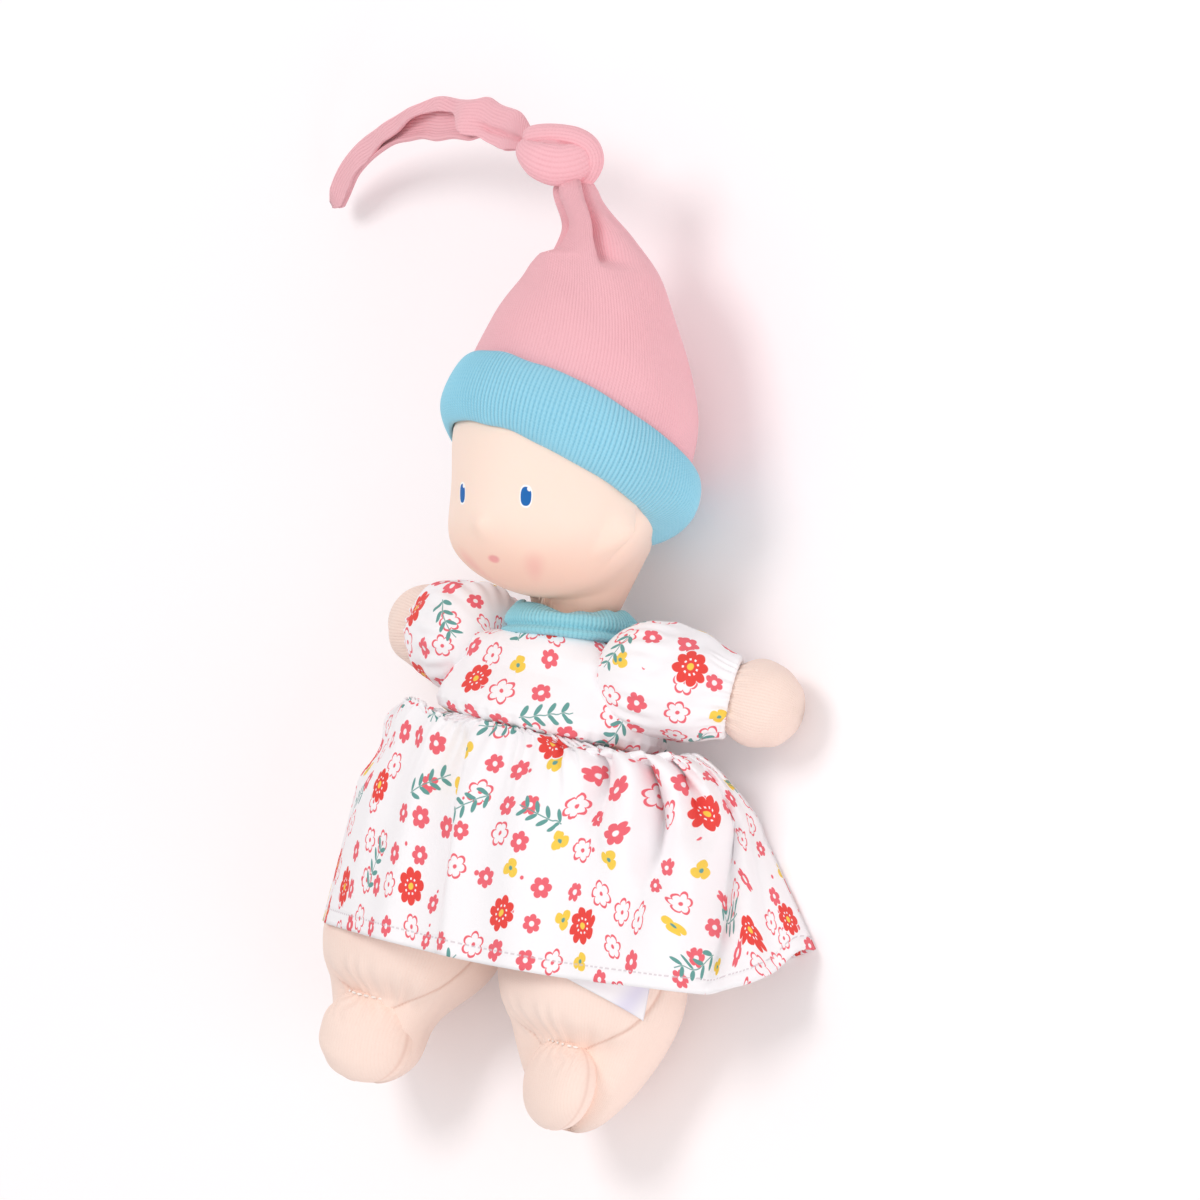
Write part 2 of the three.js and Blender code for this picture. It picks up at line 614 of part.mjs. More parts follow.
// Head

// Radius of the round of the head at a height above the neck pivot: a full jaw and a domed crown.
function headRadius(y) {
  if (y > CRANIUM_RISE) return Math.sqrt(Math.max(0, 1 - ((y - CRANIUM_RISE) / (CROWN_RISE - CRANIUM_RISE)) ** 2.2));
  const t = (CRANIUM_RISE - y) / (CRANIUM_RISE - CHIN_RISE);
  return Math.sqrt(Math.max(0, 1 - t ** 3));
}

// The head's round with its button nose, cheeks and ears. Angle 0 is the front of the face.
function headRound(inset, rings, sides) {
  return loft(rings, sides, (v, a) => {
    const y = mix(CHIN_RISE + inset, CROWN_RISE - inset, eased(v));
    const face = a - radians(FACE_TURN);
    const off = Math.atan2(Math.sin(face), Math.cos(face));
    const nose = NOSE_BUMP * bump(y - NOSE_RISE, 2.6) * bump(off, 0.13);
    const ears = EAR_BUMP * bump(y - EAR_RISE, 4) * bump(Math.abs(off) - radians(EAR_ANGLE), 0.16);
    const cheeks = CHEEK_BUMP * bump(y - CHEEK_RISE, 6) * bump(Math.abs(off) - 0.65, 0.4);
    const features = inset > 0 ? 0 : nose + ears + cheeks;
    const nape = 1 - NAPE_FLATNESS * bump(Math.abs(off) - radians(NAPE_ANGLE), 0.6) * bump(y - CHEEK_RISE - 5, 13);
    const radius = Math.max(0.5, (CRANIUM_RADIUS - inset) * headRadius(y) * nape) + features;
    const forward = HEAD_FORWARD + JAW_FORWARD * bump(y - CHIN_RISE - 6, JAW_SPREAD);
    return new THREE.Vector3(radius * Math.sin(a), y, forward + radius * Math.cos(a));
  });
}

// The neck stem with the groove that the body bag is tied into, the flange below it and the nape above.
function neckStem(top) {
  const flangeTop = -NECK_LENGTH * 0.72;
  const grooveTop = -NECK_LENGTH * 0.42;
  return turned(
    [
      [0, -NECK_LENGTH],
      [NECK_FLANGE_RADIUS - 0.6, -NECK_LENGTH],
      [NECK_FLANGE_RADIUS, -NECK_LENGTH + 0.6],
      [NECK_FLANGE_RADIUS, flangeTop],
      [NECK_GROOVE_RADIUS, flangeTop],
      [NECK_GROOVE_RADIUS, grooveTop],
      [NECK_RADIUS, grooveTop + 0.8],
      [NECK_RADIUS, top],
      [NAPE_RADIUS, NAPE_RISE],
      [0, NAPE_RISE],
    ],
    20,
  );
}

function headShell() {
  const join = CHIN_RISE + 2 * RUBBER_WALL;
  const bore = solidFrom(
    new THREE.CylinderGeometry(NECK_BORE_RADIUS, NECK_BORE_RADIUS, 2 * NECK_LENGTH + join, 16),
  );
  const hollow = headRound(RUBBER_WALL, 10, 16).add(bore);
  return headRound(0, 20, 32).add(neckStem(join)).subtract(hollow);
}

const neckStopper = () =>
  turned(
    [
      [0, -NECK_LENGTH],
      [NECK_BORE_RADIUS - GAP, -NECK_LENGTH],
      [NECK_BORE_RADIUS - GAP, -NECK_LENGTH * 0.55],
      [0, -NECK_LENGTH * 0.55],
    ],
    16,
  );

const neckTie = () => {
  const groove = (-NECK_LENGTH * (0.72 + 0.42)) / 2;
  return ring(NECK_GROOVE_RADIUS + GAP + TIE_RADIUS, TIE_RADIUS, 16, groove);
};

// Hat

const cuffTilt = (a) => CUFF_FRONT_LIFT * Math.cos(a) + CUFF_SIDE_LIFT * Math.sin(a);

// A point of the hat leaned over as the tilted cuff is: the further above the cuff's lower edge, the further.
function leaned(x, y, z, rise) {
  const share = Math.max(0, rise + CUFF_HEIGHT / 2) / (2 * cuffMiddle);
  return new THREE.Vector3(x - CUFF_SIDE_LIFT * share, y, z - CUFF_FRONT_LIFT * share);
}

// The knitted cone, from the cuff to its tip, with folds that deepen towards the knot.
function crownForm(inset, drop, rings, sides) {
  const bottom = CRANIUM_RISE - CUFF_HEIGHT / 2 + 1 - drop;
  return loft(rings, sides, (v, a) => {
    const tip = HAT_TIP_RISE - 2 * inset;
    const y = mix(bottom, tip, v) + (1 - v) ** 3 * cuffTilt(a);
    const t = Math.max(0, (y - CRANIUM_RISE - 6) / (HAT_TIP_RISE - CRANIUM_RISE - 6));
    const bell = 0.5 + 0.5 * Math.cos(Math.PI * Math.min(1, t) ** 1.38);
    const gather = smooth(t, 0.55, 1);
    const fold = 1 + 0.16 * gather * Math.cos(HAT_FOLDS * a + 0.6);
    const radius = mix(HAT_TIP_RADIUS, crownOuter, bell) * fold - inset;
    const bend = smooth(t, 0.8, 1);
    const x = HAT_TIP_SHIFT * bend + radius * Math.sin(a);
    const rise = y - CRANIUM_RISE - cuffTilt(a);
    const upright = 1 - smooth(rise, CUFF_HEIGHT / 2, 3 * CUFF_HEIGHT);
    const lean = (rise + CUFF_HEIGHT / 2) * upright - CUFF_HEIGHT / 2;
    return leaned(x, y, HEAD_FORWARD + HAT_TIP_FORWARD * bend + radius * Math.cos(a), lean);
  });
}

// The folded blue cuff: a rounded band about the crown, high on the brow and low at the nape.
function hatCuff() {
  return loftRing(36, 8, (a, b) => {
    const half = CUFF_HEIGHT / 2;
    const along = half * Math.sign(Math.sin(b)) * Math.abs(Math.sin(b)) ** 0.6;
    const out = (CUFF_WALL / 2) * Math.sign(Math.cos(b)) * Math.abs(Math.cos(b)) ** 0.6;
    const radius = cuffMiddle + out;
    const y = CRANIUM_RISE + along + cuffTilt(a);
    return leaned(radius * Math.sin(a), y, HEAD_FORWARD + radius * Math.cos(a), along);
  });
}

const knotCentre = new THREE.Vector3(KNOT_SHIFT, KNOT_RISE, HEAD_FORWARD + KNOT_FORWARD);

// The overhand knot: a core wrapped by two turns of the knitted tube, one over the other.
function hatKnot() {
  const wrap = (tiltX, tiltZ, radius) => {
    const turnOver = new THREE.TorusGeometry(radius, KNOT_WRAP_RADIUS, 8, 18).rotateX(Math.PI / 2);
    turnOver.rotateX(tiltX).rotateZ(tiltZ);
    return solidFrom(turnOver.translate(knotCentre.x, knotCentre.y, knotCentre.z));
  };
  const reach = KNOT_RADIUS - KNOT_WRAP_RADIUS;
  const core = ball(KNOT_CORE_RADIUS, knotCentre, 16);
  return core.add(wrap(0.3, 0.75, reach)).add(wrap(-0.5, -0.35, reach * 0.85));
}

// The flat knitted tail beyond the knot, rolled at its edges and squared off at its end.
function hatTail() {
  const knot = knotCentre.clone().applyMatrix4(headFrame);
  const route = new THREE.CatmullRomCurve3(TAIL_ROUTE.map((p) => new THREE.Vector3(...p).add(knot)));
  const up = new THREE.Vector3(0, 0, 1);
  return loft(16, 14, (v, a) => {
    const along = route.getTangentAt(v);
    const flat = new THREE.Vector3().crossVectors(up, along).normalize();
    const proud = new THREE.Vector3().crossVectors(along, flat);
    const width = TAIL_HALF_WIDTH * mix(0.75, 1, smooth(v, 0, 0.3)) * (1 - 0.3 * smooth(v, 0.8, 1));
    const roll = 1.2 * Math.cos(2 * a) * smooth(v, 0.1, 0.4);
    const p = route.getPointAt(v);
    p.addScaledVector(flat, width * Math.cos(a));
    return p.addScaledVector(proud, TAIL_HALF_THICKNESS * Math.sin(a) + roll);
  });
}

// Assembly

const doll = new THREE.Group();
doll.position.y = -REST_HEIGHT;

function add(parent, name, solid, material) {
  const { vertProperties, triVerts } = solid.getMesh();
  const geometry = new THREE.BufferGeometry();
  geometry.setAttribute("position", new THREE.BufferAttribute(new Float32Array(vertProperties), 3));
  geometry.setIndex(new THREE.BufferAttribute(new Uint32Array(triVerts), 1));
  geometry.computeVertexNormals();
  const mesh = new THREE.Mesh(geometry, material);
  mesh.name = name;
  parent.add(mesh);
}

function groupAt(matrix) {
  const group = new THREE.Group();
  group.applyMatrix4(matrix);
  doll.add(group);
  return group;
}

add(doll, "body_bag", bodyBag(), skinKnit);
add(doll, "body_filling", bodyFilling(), filling);
for (const [side, hand] of [
  [1, "left"],
  [-1, "right"],
]) {
  add(doll, `${hand}_leg`, legBag(side), skinKnit);
  add(doll, `${hand}_leg_filling`, legFilling(side), filling);
  add(doll, `${hand}_foot`, toe(side, 0), skinKnit);
  const limb = groupAt(armFrame(side));
  add(limb, `${hand}_arm`, armBag(), skinKnit);
  add(limb, `${hand}_arm_filling`, arm(BAG_WALL + GAP, 2, 10), filling);
  add(limb, `${hand}_sleeve`, sleeve(), dressCotton);
  add(limb, `${hand}_sleeve_elastic`, sleeveElastic(), elastic);
}
add(doll, "care_label", careLabel(), satin);
add(doll, "bodice", bodice(), dressCotton);
add(doll, "skirt_front", skirtPanel(true, 42, 7), dressCotton);
add(doll, "skirt_back", skirtPanel(false, 16, 7), dressCotton);
add(doll, "waist_elastic", waistElastic(), elastic);

const neck = groupAt(neckFrame);
add(neck, "collar", collar(), blueRib);
add(neck, "neck_tie", neckTie(), elastic);
const head = groupAt(headFrame);
add(head, "head_shell", headShell(), rubberSkin);
add(head, "neck_stopper", neckStopper(), rubberPlug);
const knotRoom = ball(KNOT_RADIUS + GAP, knotCentre, 24);
const crown = crownForm(0, 0, 16, 30).subtract(crownForm(HAT_WALL, 4, 12, 20)).subtract(knotRoom);
add(head, "hat_crown", crown, pinkKnit);
add(doll, "hat_cuff", aboveFloor(moved(hatCuff(), headFrame)), blueRib);
add(head, "hat_knot", hatKnot(), pinkKnit);
add(doll, "hat_tail", hatTail().subtract(moved(knotRoom, headFrame)), pinkKnit);

export default doll;
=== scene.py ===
"""The looks of a soft doll with a hollow rubber head, in the frame of its solids."""

import logging
import math
from dataclasses import astuple, dataclass, field
from enum import Enum
from typing import Any, Callable, Sequence

import bpy
import numpy as np
from mathutils import Matrix, Vector


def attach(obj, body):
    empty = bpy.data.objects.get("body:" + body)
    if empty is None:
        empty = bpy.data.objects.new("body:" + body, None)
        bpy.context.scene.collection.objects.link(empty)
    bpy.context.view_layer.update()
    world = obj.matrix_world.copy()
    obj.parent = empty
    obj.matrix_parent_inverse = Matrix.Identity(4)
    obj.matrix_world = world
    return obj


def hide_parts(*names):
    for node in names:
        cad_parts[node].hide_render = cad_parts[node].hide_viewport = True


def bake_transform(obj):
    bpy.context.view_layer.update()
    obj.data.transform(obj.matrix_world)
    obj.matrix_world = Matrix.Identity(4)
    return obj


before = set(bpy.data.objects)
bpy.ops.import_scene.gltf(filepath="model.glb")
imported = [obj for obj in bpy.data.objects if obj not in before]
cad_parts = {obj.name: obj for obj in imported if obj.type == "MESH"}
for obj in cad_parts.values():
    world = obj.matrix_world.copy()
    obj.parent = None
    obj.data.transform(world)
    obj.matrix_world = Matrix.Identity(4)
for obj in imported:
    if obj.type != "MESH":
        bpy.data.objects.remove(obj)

LOG = logging.getLogger("doll")
Array = np.ndarray
Mesh = bpy.types.Object
Colour = tuple[float, float, float, float]
TURN = 2.0 * math.pi
MM = 0.001

# Places in millimetres: X to the doll's left, Y from its soles, Z from the surface that it lies on
REST_HEIGHT = 60.0
HIP_HEIGHT = 50.0
SHOULDER = (25.5, 102.0, 23.0)
NECK = (0.0, 111.0, 22.0)
BODY_AXIS_Z = 22.0
HEAD_LEAN = 8.0
HEAD_TURN = 3.0
ARM_DROOP = 30.0
HEAD_FORWARD = 10.43
CLOTH = 0.6

# The least height of cloth and of arms above that surface
CLOTH_REST = 0.02
ARM_REST = 0.05

# The pitch of the ribs of the hat's cuff and of the collar
CUFF_WALE = 1.08
COLLAR_WALE = 0.9

# Halvings of a ray, points on a curve before they are spaced evenly, and a shader's hard step
HALVINGS = 34
CURVE_POINTS = 600
STEP = 0.001

# The camera's own angle: round from the doll's front to its left, and rolled
VIEW_ANGLE = 37.0
VIEW_ROLL = 13.0


class Side(Enum):
    """The doll's own left and right, as the sign of X."""

    LEFT = 1
    RIGHT = -1

    @property
    def word(self) -> str:
        """The side's name as the solids use it."""
        return self.name.lower()


# Arithmetic on whole arrays


def mix(low: Any, high: Any, share: Any) -> Any:
    """A straight blend from low to high."""
    return low + (high - low) * share


def smooth(value: Any, low: float, high: float) -> Any:
    """A cubic ease from 0 at low to 1 at high."""
    t = np.clip((value - low) / (high - low), 0.0, 1.0)
    return t * t * (3.0 - 2.0 * t)


def hump(distance: Any, width: float) -> Any:
    """A bell of height 1 and the given width."""
    return np.exp(-((distance / width) ** 2))


def bulged(value: Array, power: float) -> Array:
    """A power of a number's size, with its sign kept."""
    return np.sign(value) * np.abs(value) ** power


def wrapped(angle: Array) -> Array:
    """An angle brought between minus and plus half a turn."""
    return np.arctan2(np.sin(angle), np.cos(angle))


def half_chord(radius: float, offset: Array) -> Array:
    """Half the chord of a circle at an offset from its middle, and 0 outside it."""
    return np.sqrt(np.maximum(0.0, radius**2 - offset**2))


def wander(u: Any, v: Any, seed: int, waves: int = 7) -> Any:
    """A smooth uneven field of about unit size: a sum of sines with seeded directions and phases.

    Args:
        u: First parameter, one unit a wave or so.
        v: Second parameter.
        seed: Seed of the directions and phases.
        waves: Number of sines in the sum.

    Returns:
        The field at each point.
    """
    rng = np.random.default_rng(seed)
    total = np.zeros(np.broadcast(u, v).shape)
    for _ in range(waves):
        heading = rng.uniform(0.0, TURN)
        pitch = rng.uniform(0.6, 1.7) * TURN
        phase = rng.uniform(0.0, TURN)
        total = total + np.sin(pitch * (u * math.cos(heading) + v * math.sin(heading)) + phase)
    return total / math.sqrt(waves)


def around(turn: Array, bumps: float, level: Array | float, seed: int) -> Array:
    """Soft noise round a closed ring: as many bumps to a turn as given, with no step where it closes."""
    reach = bumps / TURN
    return wander(5.0 + reach * np.cos(turn), 5.0 + reach * np.sin(turn) + level, seed)


def grid(rows: int, columns: int, wrap: bool = False) -> tuple[Array, Array]:
    """Two parameter arrays over a grid of rows by columns, each from 0 to 1.

    Args:
        rows: Number of rows, along v.
        columns: Number of columns, along u.
        wrap: Whether the last column meets the first, so that u stops one step short of 1.

    Returns:
        The arrays u and v.
    """
    across = np.linspace(0.0, 1.0, columns, endpoint=not wrap)
    down = np.linspace(0.0, 1.0, rows)
    u, v = np.meshgrid(across, down)
    return u, v


def stack(x: Any, y: Any, z: Any) -> Array:
    """Three coordinate arrays as one array of points."""
    return np.stack(np.broadcast_arrays(x, y, z), axis=-1).astype(float)


def ring(radius: Array, y: Array, turn: Array) -> Array:
    """Points round the Y axis, with angle 0 to the front."""
    return stack(radius * np.sin(turn), y, radius * np.cos(turn))


def above(points: Array, floor: float) -> Array:
    """Points, with those below a height lifted to it."""
    points[..., 2] = np.maximum(points[..., 2], floor)
    return points


def turned(points: Array, axis: str, degrees: float) -> Array:
    """Points turned about an axis through the origin by the right-hand rule."""
    spin = np.array(Matrix.Rotation(math.radians(degrees), 3, axis))
    return points @ spin.T


def from_neck(points: Array) -> Array:
    """Points about the neck's pivot and axis, in the doll's own frame."""
    return turned(points, "Z", HEAD_LEAN) + np.array(NECK)


def from_head(points: Array) -> Array:
    """Points of the head, with angle 0 to its front, in the doll's own frame."""
    return from_neck(turned(points, "Y", -HEAD_TURN))


def from_arm(points: Array, side: Side) -> Array:
    """Points about the shoulder with Y along the arm, in the doll's own frame."""
    lying = turned(points, "Z", -90.0 * side.value)
    drooped = turned(lying, "Y", ARM_DROOP * side.value)
    return drooped + np.array(SHOULDER) * np.array([side.value, 1.0, 1.0])


def view_axes() -> Array:
    """The camera's own directions: right, up and towards the camera."""
    view, roll = math.radians(VIEW_ANGLE), math.radians(VIEW_ROLL)
    right = np.array([math.cos(view), 0.0, -math.sin(view)])
    back = np.array([math.sin(view), 0.0, math.cos(view)])
    up = np.array([0.0, 1.0, 0.0])
    across = right * math.cos(roll) + up * math.sin(roll)
    return np.array([across, up * math.cos(roll) - right * math.sin(roll), back])


def from_view(points: Array, middle: Array) -> Array:
    """Points drawn right, up and towards the camera from a middle, in the doll's own frame."""
    return points @ view_axes() + middle


def root_along(inside: Callable[[Array], Array], centre: Array, headings: Array, reach: float) -> Array:
    """Where rays from a centre leave a form, by halving the stretch that holds the way out.

    Args:
        inside: A field over points that is above 0 inside the form.
        centre: The rays' common start.
        headings: Unit vectors, one for each ray.
        reach: A distance that lies outside the form on every ray.

    Returns:
        The points where the rays leave.
    """
    near = np.zeros(headings.shape[:-1])
    far = np.full(headings.shape[:-1], reach)
    for _ in range(HALVINGS):
        middle = (near + far) / 2.0
        held = inside(centre + headings * middle[..., None]) > 0.0
        near = np.where(held, middle, near)
        far = np.where(held, far, middle)
    return centre + headings * near[..., None]


def round_union(first: Array, second: Array, radius: float) -> Array:
    """The larger of two fields, with the crease between them filled to about a radius."""
    share = np.clip(0.5 + 0.5 * (first - second) / radius, 0.0, 1.0)
    return mix(second, first, share) + radius * share * (1.0 - share)


def path_through(stations: Sequence[Sequence[float]], count: int) -> Array:
    """Evenly spaced points on a smooth curve through stations.

    Args:
        stations: Points that the curve passes.
        count: Number of points wanted.

    Returns:
        An array of points.
    """
    p = np.array(stations, float)
    p = np.vstack([2 * p[0] - p[1], p, 2 * p[-1] - p[-2]])
    steps = np.linspace(0.0, len(stations) - 1, CURVE_POINTS)
    i = np.minimum(steps.astype(int), len(stations) - 2)
    t = (steps - i)[:, None]
    a, b, c, d = p[i], p[i + 1], p[i + 2], p[i + 3]
    square, cube = 2 * a - 5 * b + 4 * c - d, 3 * b - a - 3 * c + d
    curve = 0.5 * (2 * b + (c - a) * t + square * t**2 + cube * t**3)
    length = np.concatenate([[0.0], np.cumsum(np.linalg.norm(np.diff(curve, axis=0), axis=1))])
    wanted = np.linspace(0.0, length[-1], count)
    return np.stack([np.interp(wanted, length, curve[:, k]) for k in range(3)], axis=-1)


def unit(vectors: Array) -> Array:
    """Vectors at length 1."""
    return vectors / np.linalg.norm(vectors, axis=-1, keepdims=True)


def closed(values: Array) -> Array:
    """A grid that wraps, with its first column repeated at the end."""
    return np.concatenate([values, values[:, :1]], axis=1)


def ring_of(u: Array) -> Array:
    """The first parameter of a grid that wraps, with a last column at 1."""
    return np.append(u, np.ones((u.shape[0], 1)), axis=1)


def span_down(points: Array) -> Array:
    """The length from the first row to each row, along each column of a grid."""
    steps = np.linalg.norm(np.diff(points, axis=0), axis=-1)
    return np.concatenate([np.zeros((1, points.shape[1])), np.cumsum(steps, axis=0)])


def span_across(points: Array) -> Array:
    """The length from the first column to each column, along each row of a grid."""
    steps = np.linalg.norm(np.diff(points, axis=1), axis=-1)
    return np.concatenate([np.zeros((points.shape[0], 1)), np.cumsum(steps, axis=1)], axis=1)


def carried(path: Array, flat: Array, rise: Array, x: Array, y: Array) -> Array:
    """A section carried along a path: x along its flat direction and y along its rise."""
    return path[:, None, :] + flat[:, None, :] * x[..., None] + rise[:, None, :] * y[..., None]


def oval_along(path: Array, wide: Array, thick: Array, proud: Array, turn: Array, swell: Array) -> Array:
    """An oval section carried along a path.

    Args:
        path: The path's points.
        wide: The section's half width at each point.
        thick: Its half thickness at each point.
        proud: The direction of the thickness at each point.
        turn: The angle round the section, over a grid.
        swell: A factor on the section, over the same grid.

    Returns:
        The grid of points.
    """
    along = unit(np.gradient(path, axis=0))
    rise = unit(proud - along * np.einsum("ij,ij->i", proud, along)[:, None])
    flat = np.cross(rise, along)
    x = wide[:, None] * np.cos(turn) * swell
    y = thick[:, None] * np.sin(turn) * swell
    return carried(path, flat, rise, x, y)


def area_of(points: Array) -> float:
    """The area of a grid of points, in square metres."""
    one = points[1:, 1:] - points[:-1, :-1]
    other = points[1:, :-1] - points[:-1, 1:]
    return float(np.linalg.norm(np.cross(one, other), axis=-1).sum() / 2.0) * MM * MM


# Meshes from grids of points


def linked(name: str, data: Any) -> bpy.types.Object:
    """A new object for a mesh, a lamp or a camera, linked to the scene."""
    made = bpy.data.objects.new(name, data)
    bpy.context.scene.collection.objects.link(made)
    return made


def mesh_piece(name: str, spots: Array, faces: list[list[int]]) -> Mesh:
    """A smooth mesh of points in the doll's own frame, in millimetres."""
    mesh = bpy.data.meshes.new(name)
    mesh.from_pydata((spots - np.array([0.0, REST_HEIGHT, 0.0])) * MM, [], faces)
    mesh.polygons.foreach_set("use_smooth", np.ones(len(mesh.polygons), bool))
    mesh.update()
    return linked(name, mesh)


def lay(
    name: str,
    points: Array,
    cloth: Array,
    wrap: bool = False,
    caps: tuple[bool, bool] = (False, False),
    marks: dict[str, Array] | None = None,
) -> Mesh:
    """A mesh from a grid of points in the doll's own frame, with its faces turned outwards.

    Args:
        name: The piece's name.
        points: Points in millimetres, rows by columns.
        cloth: The map of the same grid, in millimetres of cloth, with one more column where it wraps.
        wrap: Whether the last column joins the first.
        caps: Whether the first and the last row close to a point.
        marks: Numbers for each grid point, by attribute name.

    Returns:
        The new object, linked to the scene.
    """
    rows, columns = points.shape[:2]
    spots = points.reshape(-1, 3)
    index = np.arange(rows * columns).reshape(rows, columns)
    here = index if wrap else index[:, :-1]
    beside = np.roll(index, -1, axis=1) if wrap else index[:, 1:]
    faces = np.stack([here[:-1], beside[:-1], beside[1:], here[1:]], axis=-1).reshape(-1, 4)
    a, b = cloth[:, :-1], cloth[:, 1:]
    corners = np.stack([a[:-1], b[:-1], b[1:], a[1:]], axis=-2).reshape(-1, 4, 2)
    reach = spots[faces]
    normal = np.cross(reach[:, 2] - reach[:, 0], reach[:, 3] - reach[:, 1])
    outward = np.einsum("ij,ij->", normal, reach.mean(axis=1) - spots.mean(axis=0))
    polygons, maps = [faces], [corners]
    extra = {key: value.reshape(-1) for key, value in (marks or {}).items()}
    for row, capped in ((0, caps[0]), (-1, caps[1])):
        if not capped:
            continue
        tip = len(spots)
        spots = np.vstack([spots, points[row].mean(axis=0)])
        extra = {key: np.append(value, marks[key][row].mean()) for key, value in extra.items()}
        ends = (beside[row], here[row]) if row == 0 else (here[row], beside[row])
        polygons.append(np.stack([*ends, np.full(columns, tip)], axis=-1))
        pair = (b[row], a[row]) if row == 0 else (a[row], b[row])
        maps.append(np.stack([*pair, (a[row] + b[row]) / 2.0], axis=-2))
    if outward < 0.0:
        polygons = [p[:, ::-1] for p in polygons]
        maps = [m[:, ::-1] for m in maps]
    piece = mesh_piece(name, spots, [face for group in polygons for face in group.tolist()])
    layer = piece.data.uv_layers.new(name="cloth")
    layer.data.foreach_set("uv", np.concatenate([m.reshape(-1) for m in maps]).astype(np.float32))
    for key, value in extra.items():
        mark = piece.data.attributes.new(key, "FLOAT", "POINT")
        mark.data.foreach_set("value", value.astype(np.float32))
    piece.data.update()
    return piece


def thicken(piece: Mesh, thickness: float) -> None:
    """Gives a sheet its thickness, inwards from the laid face."""
    wall = piece.modifiers.new("wall", "SOLIDIFY")
    wall.thickness = thickness * MM
    wall.offset = -1.0
    wall.use_rim = True


def threads(name: str, middles: Array, along: Array, out: Array, length: float, radius: float) -> Mesh:
    """Short stitches as one mesh: each a small ellipsoid laid along its own heading.

    Args:
        name: The piece's name.
        middles: The stitches' middles, in the doll's own frame.
        along: Unit headings of the stitches.
        out: Unit normals of the cloth there.
        length: A stitch's length in millimetres.
        radius: A stitch's radius in millimetres.

    Returns:
        The new object.
    """
    u, v = grid(7, 8, wrap=True)
    tip = 0.12
    polar, round_angle = mix(tip, math.pi - tip, v), TURN * u
    local = stack(np.cos(polar) * length / 2.0, np.sin(polar) * np.cos(round_angle) * radius,
                  np.sin(polar) * np.sin(round_angle) * radius)
    across = np.cross(out, along)
    base = np.stack([along, across, out], axis=1)
    spots = (np.einsum("rck,nkd->nrcd", local, base) + middles[:, None, None, :]).reshape(-1, 3)
    rows, columns = local.shape[:2]
    index = np.arange(rows * columns).reshape(rows, columns)
    beside = np.roll(index, -1, axis=1)
    quads = np.stack([index[:-1], index[1:], beside[1:], beside[:-1]], axis=-1).reshape(-1, 4)
    ends = [index[0][::-1].tolist(), index[-1].tolist()]
    step = rows * columns
    faces = [[k + n * step for k in face] for n in range(len(middles)) for face in [*quads.tolist(), *ends]]
    return mesh_piece(name, spots, faces)


# Shader maths


def srgb(red: int, green: int, blue: int) -> Colour:
    """A colour as it is read off a screen, as the shaders' linear colour."""
    levels = [c / 255.0 for c in (red, green, blue)]
    linear = [c / 12.92 if c <= 0.04045 else ((c + 0.055) / 1.055) ** 2.4 for c in levels]
    return (linear[0], linear[1], linear[2], 1.0)


class Value:
    """A shader socket that takes part in Python arithmetic, each step adding a Math node."""

    def __init__(self, graph: "Graph", socket: Any) -> None:
        """Holds a socket and the graph that it belongs to."""
        self.graph = graph
        self.socket = socket

    def math(self, operation: str, *others: Any) -> "Value":
        """One Math node on this value and the others."""
        return self.graph.number(operation, self, *others)

    def __add__(self, other: Any) -> "Value":
        """self + other."""
        return self.math("ADD", other)

    def __sub__(self, other: Any) -> "Value":
        """self - other."""
        return self.math("SUBTRACT", other)

    def __rsub__(self, other: float) -> "Value":
        """other - self."""
        return self.graph.number("SUBTRACT", other, self)

    def __mul__(self, other: Any) -> "Value":
        """self * other."""
        return self.math("MULTIPLY", other)

    def __truediv__(self, other: Any) -> "Value":
        """self / other."""
        return self.math("DIVIDE", other)

    def __pow__(self, other: Any) -> "Value":
        """self to a power."""
        return self.math("POWER", other)

    def __abs__(self) -> "Value":
        """The size of self."""
        return self.math("ABSOLUTE")

    def sin(self) -> "Value":
        """The sine of self."""
        return self.math("SINE")

    def cos(self) -> "Value":
        """The cosine of self."""
        return self.math("COSINE")

    def fraction(self) -> "Value":
        """What is left of self above its whole part."""
        return self.math("FRACT")

    def root(self) -> "Value":
        """The square root of self."""
        return self.math("SQRT")

    def angle(self, other: "Value") -> "Value":
        """The angle of the point (other, self)."""
        return self.math("ARCTAN2", other)

    def most(self, other: Any) -> "Value":
        """The larger of the two."""
        return self.math("MAXIMUM", other)

    def ease(self, low: float, high: float) -> "Value":
        """A smooth step from 0 at low to 1 at high, or down where high is below low."""
        first, last = (0.0, 1.0) if low < high else (1.0, 0.0)
        values = {"Value": self, "From Min": min(low, high), "From Max": max(low, high),
                  "To Min": first, "To Max": last}
        made = self.graph.node("ShaderNodeMapRange", {"interpolation_type": "SMOOTHSTEP"}, values)
        return Value(self.graph, made.outputs[0])

    def under(self, limit: float) -> "Value":
        """1 below a limit and 0 above it."""
        return self.ease(limit, limit - STEP)

    def over(self, limit: float) -> "Value":
        """0 below a limit and 1 above it."""
        return self.ease(limit, limit + STEP)


def oval(x: Value, y: Value, wide: float, tall: float) -> Value:
    """The distance from an oval's middle, which is 1 on its edge."""
    return ((x / wide) ** 2.0 + (y / tall) ** 2.0).root()


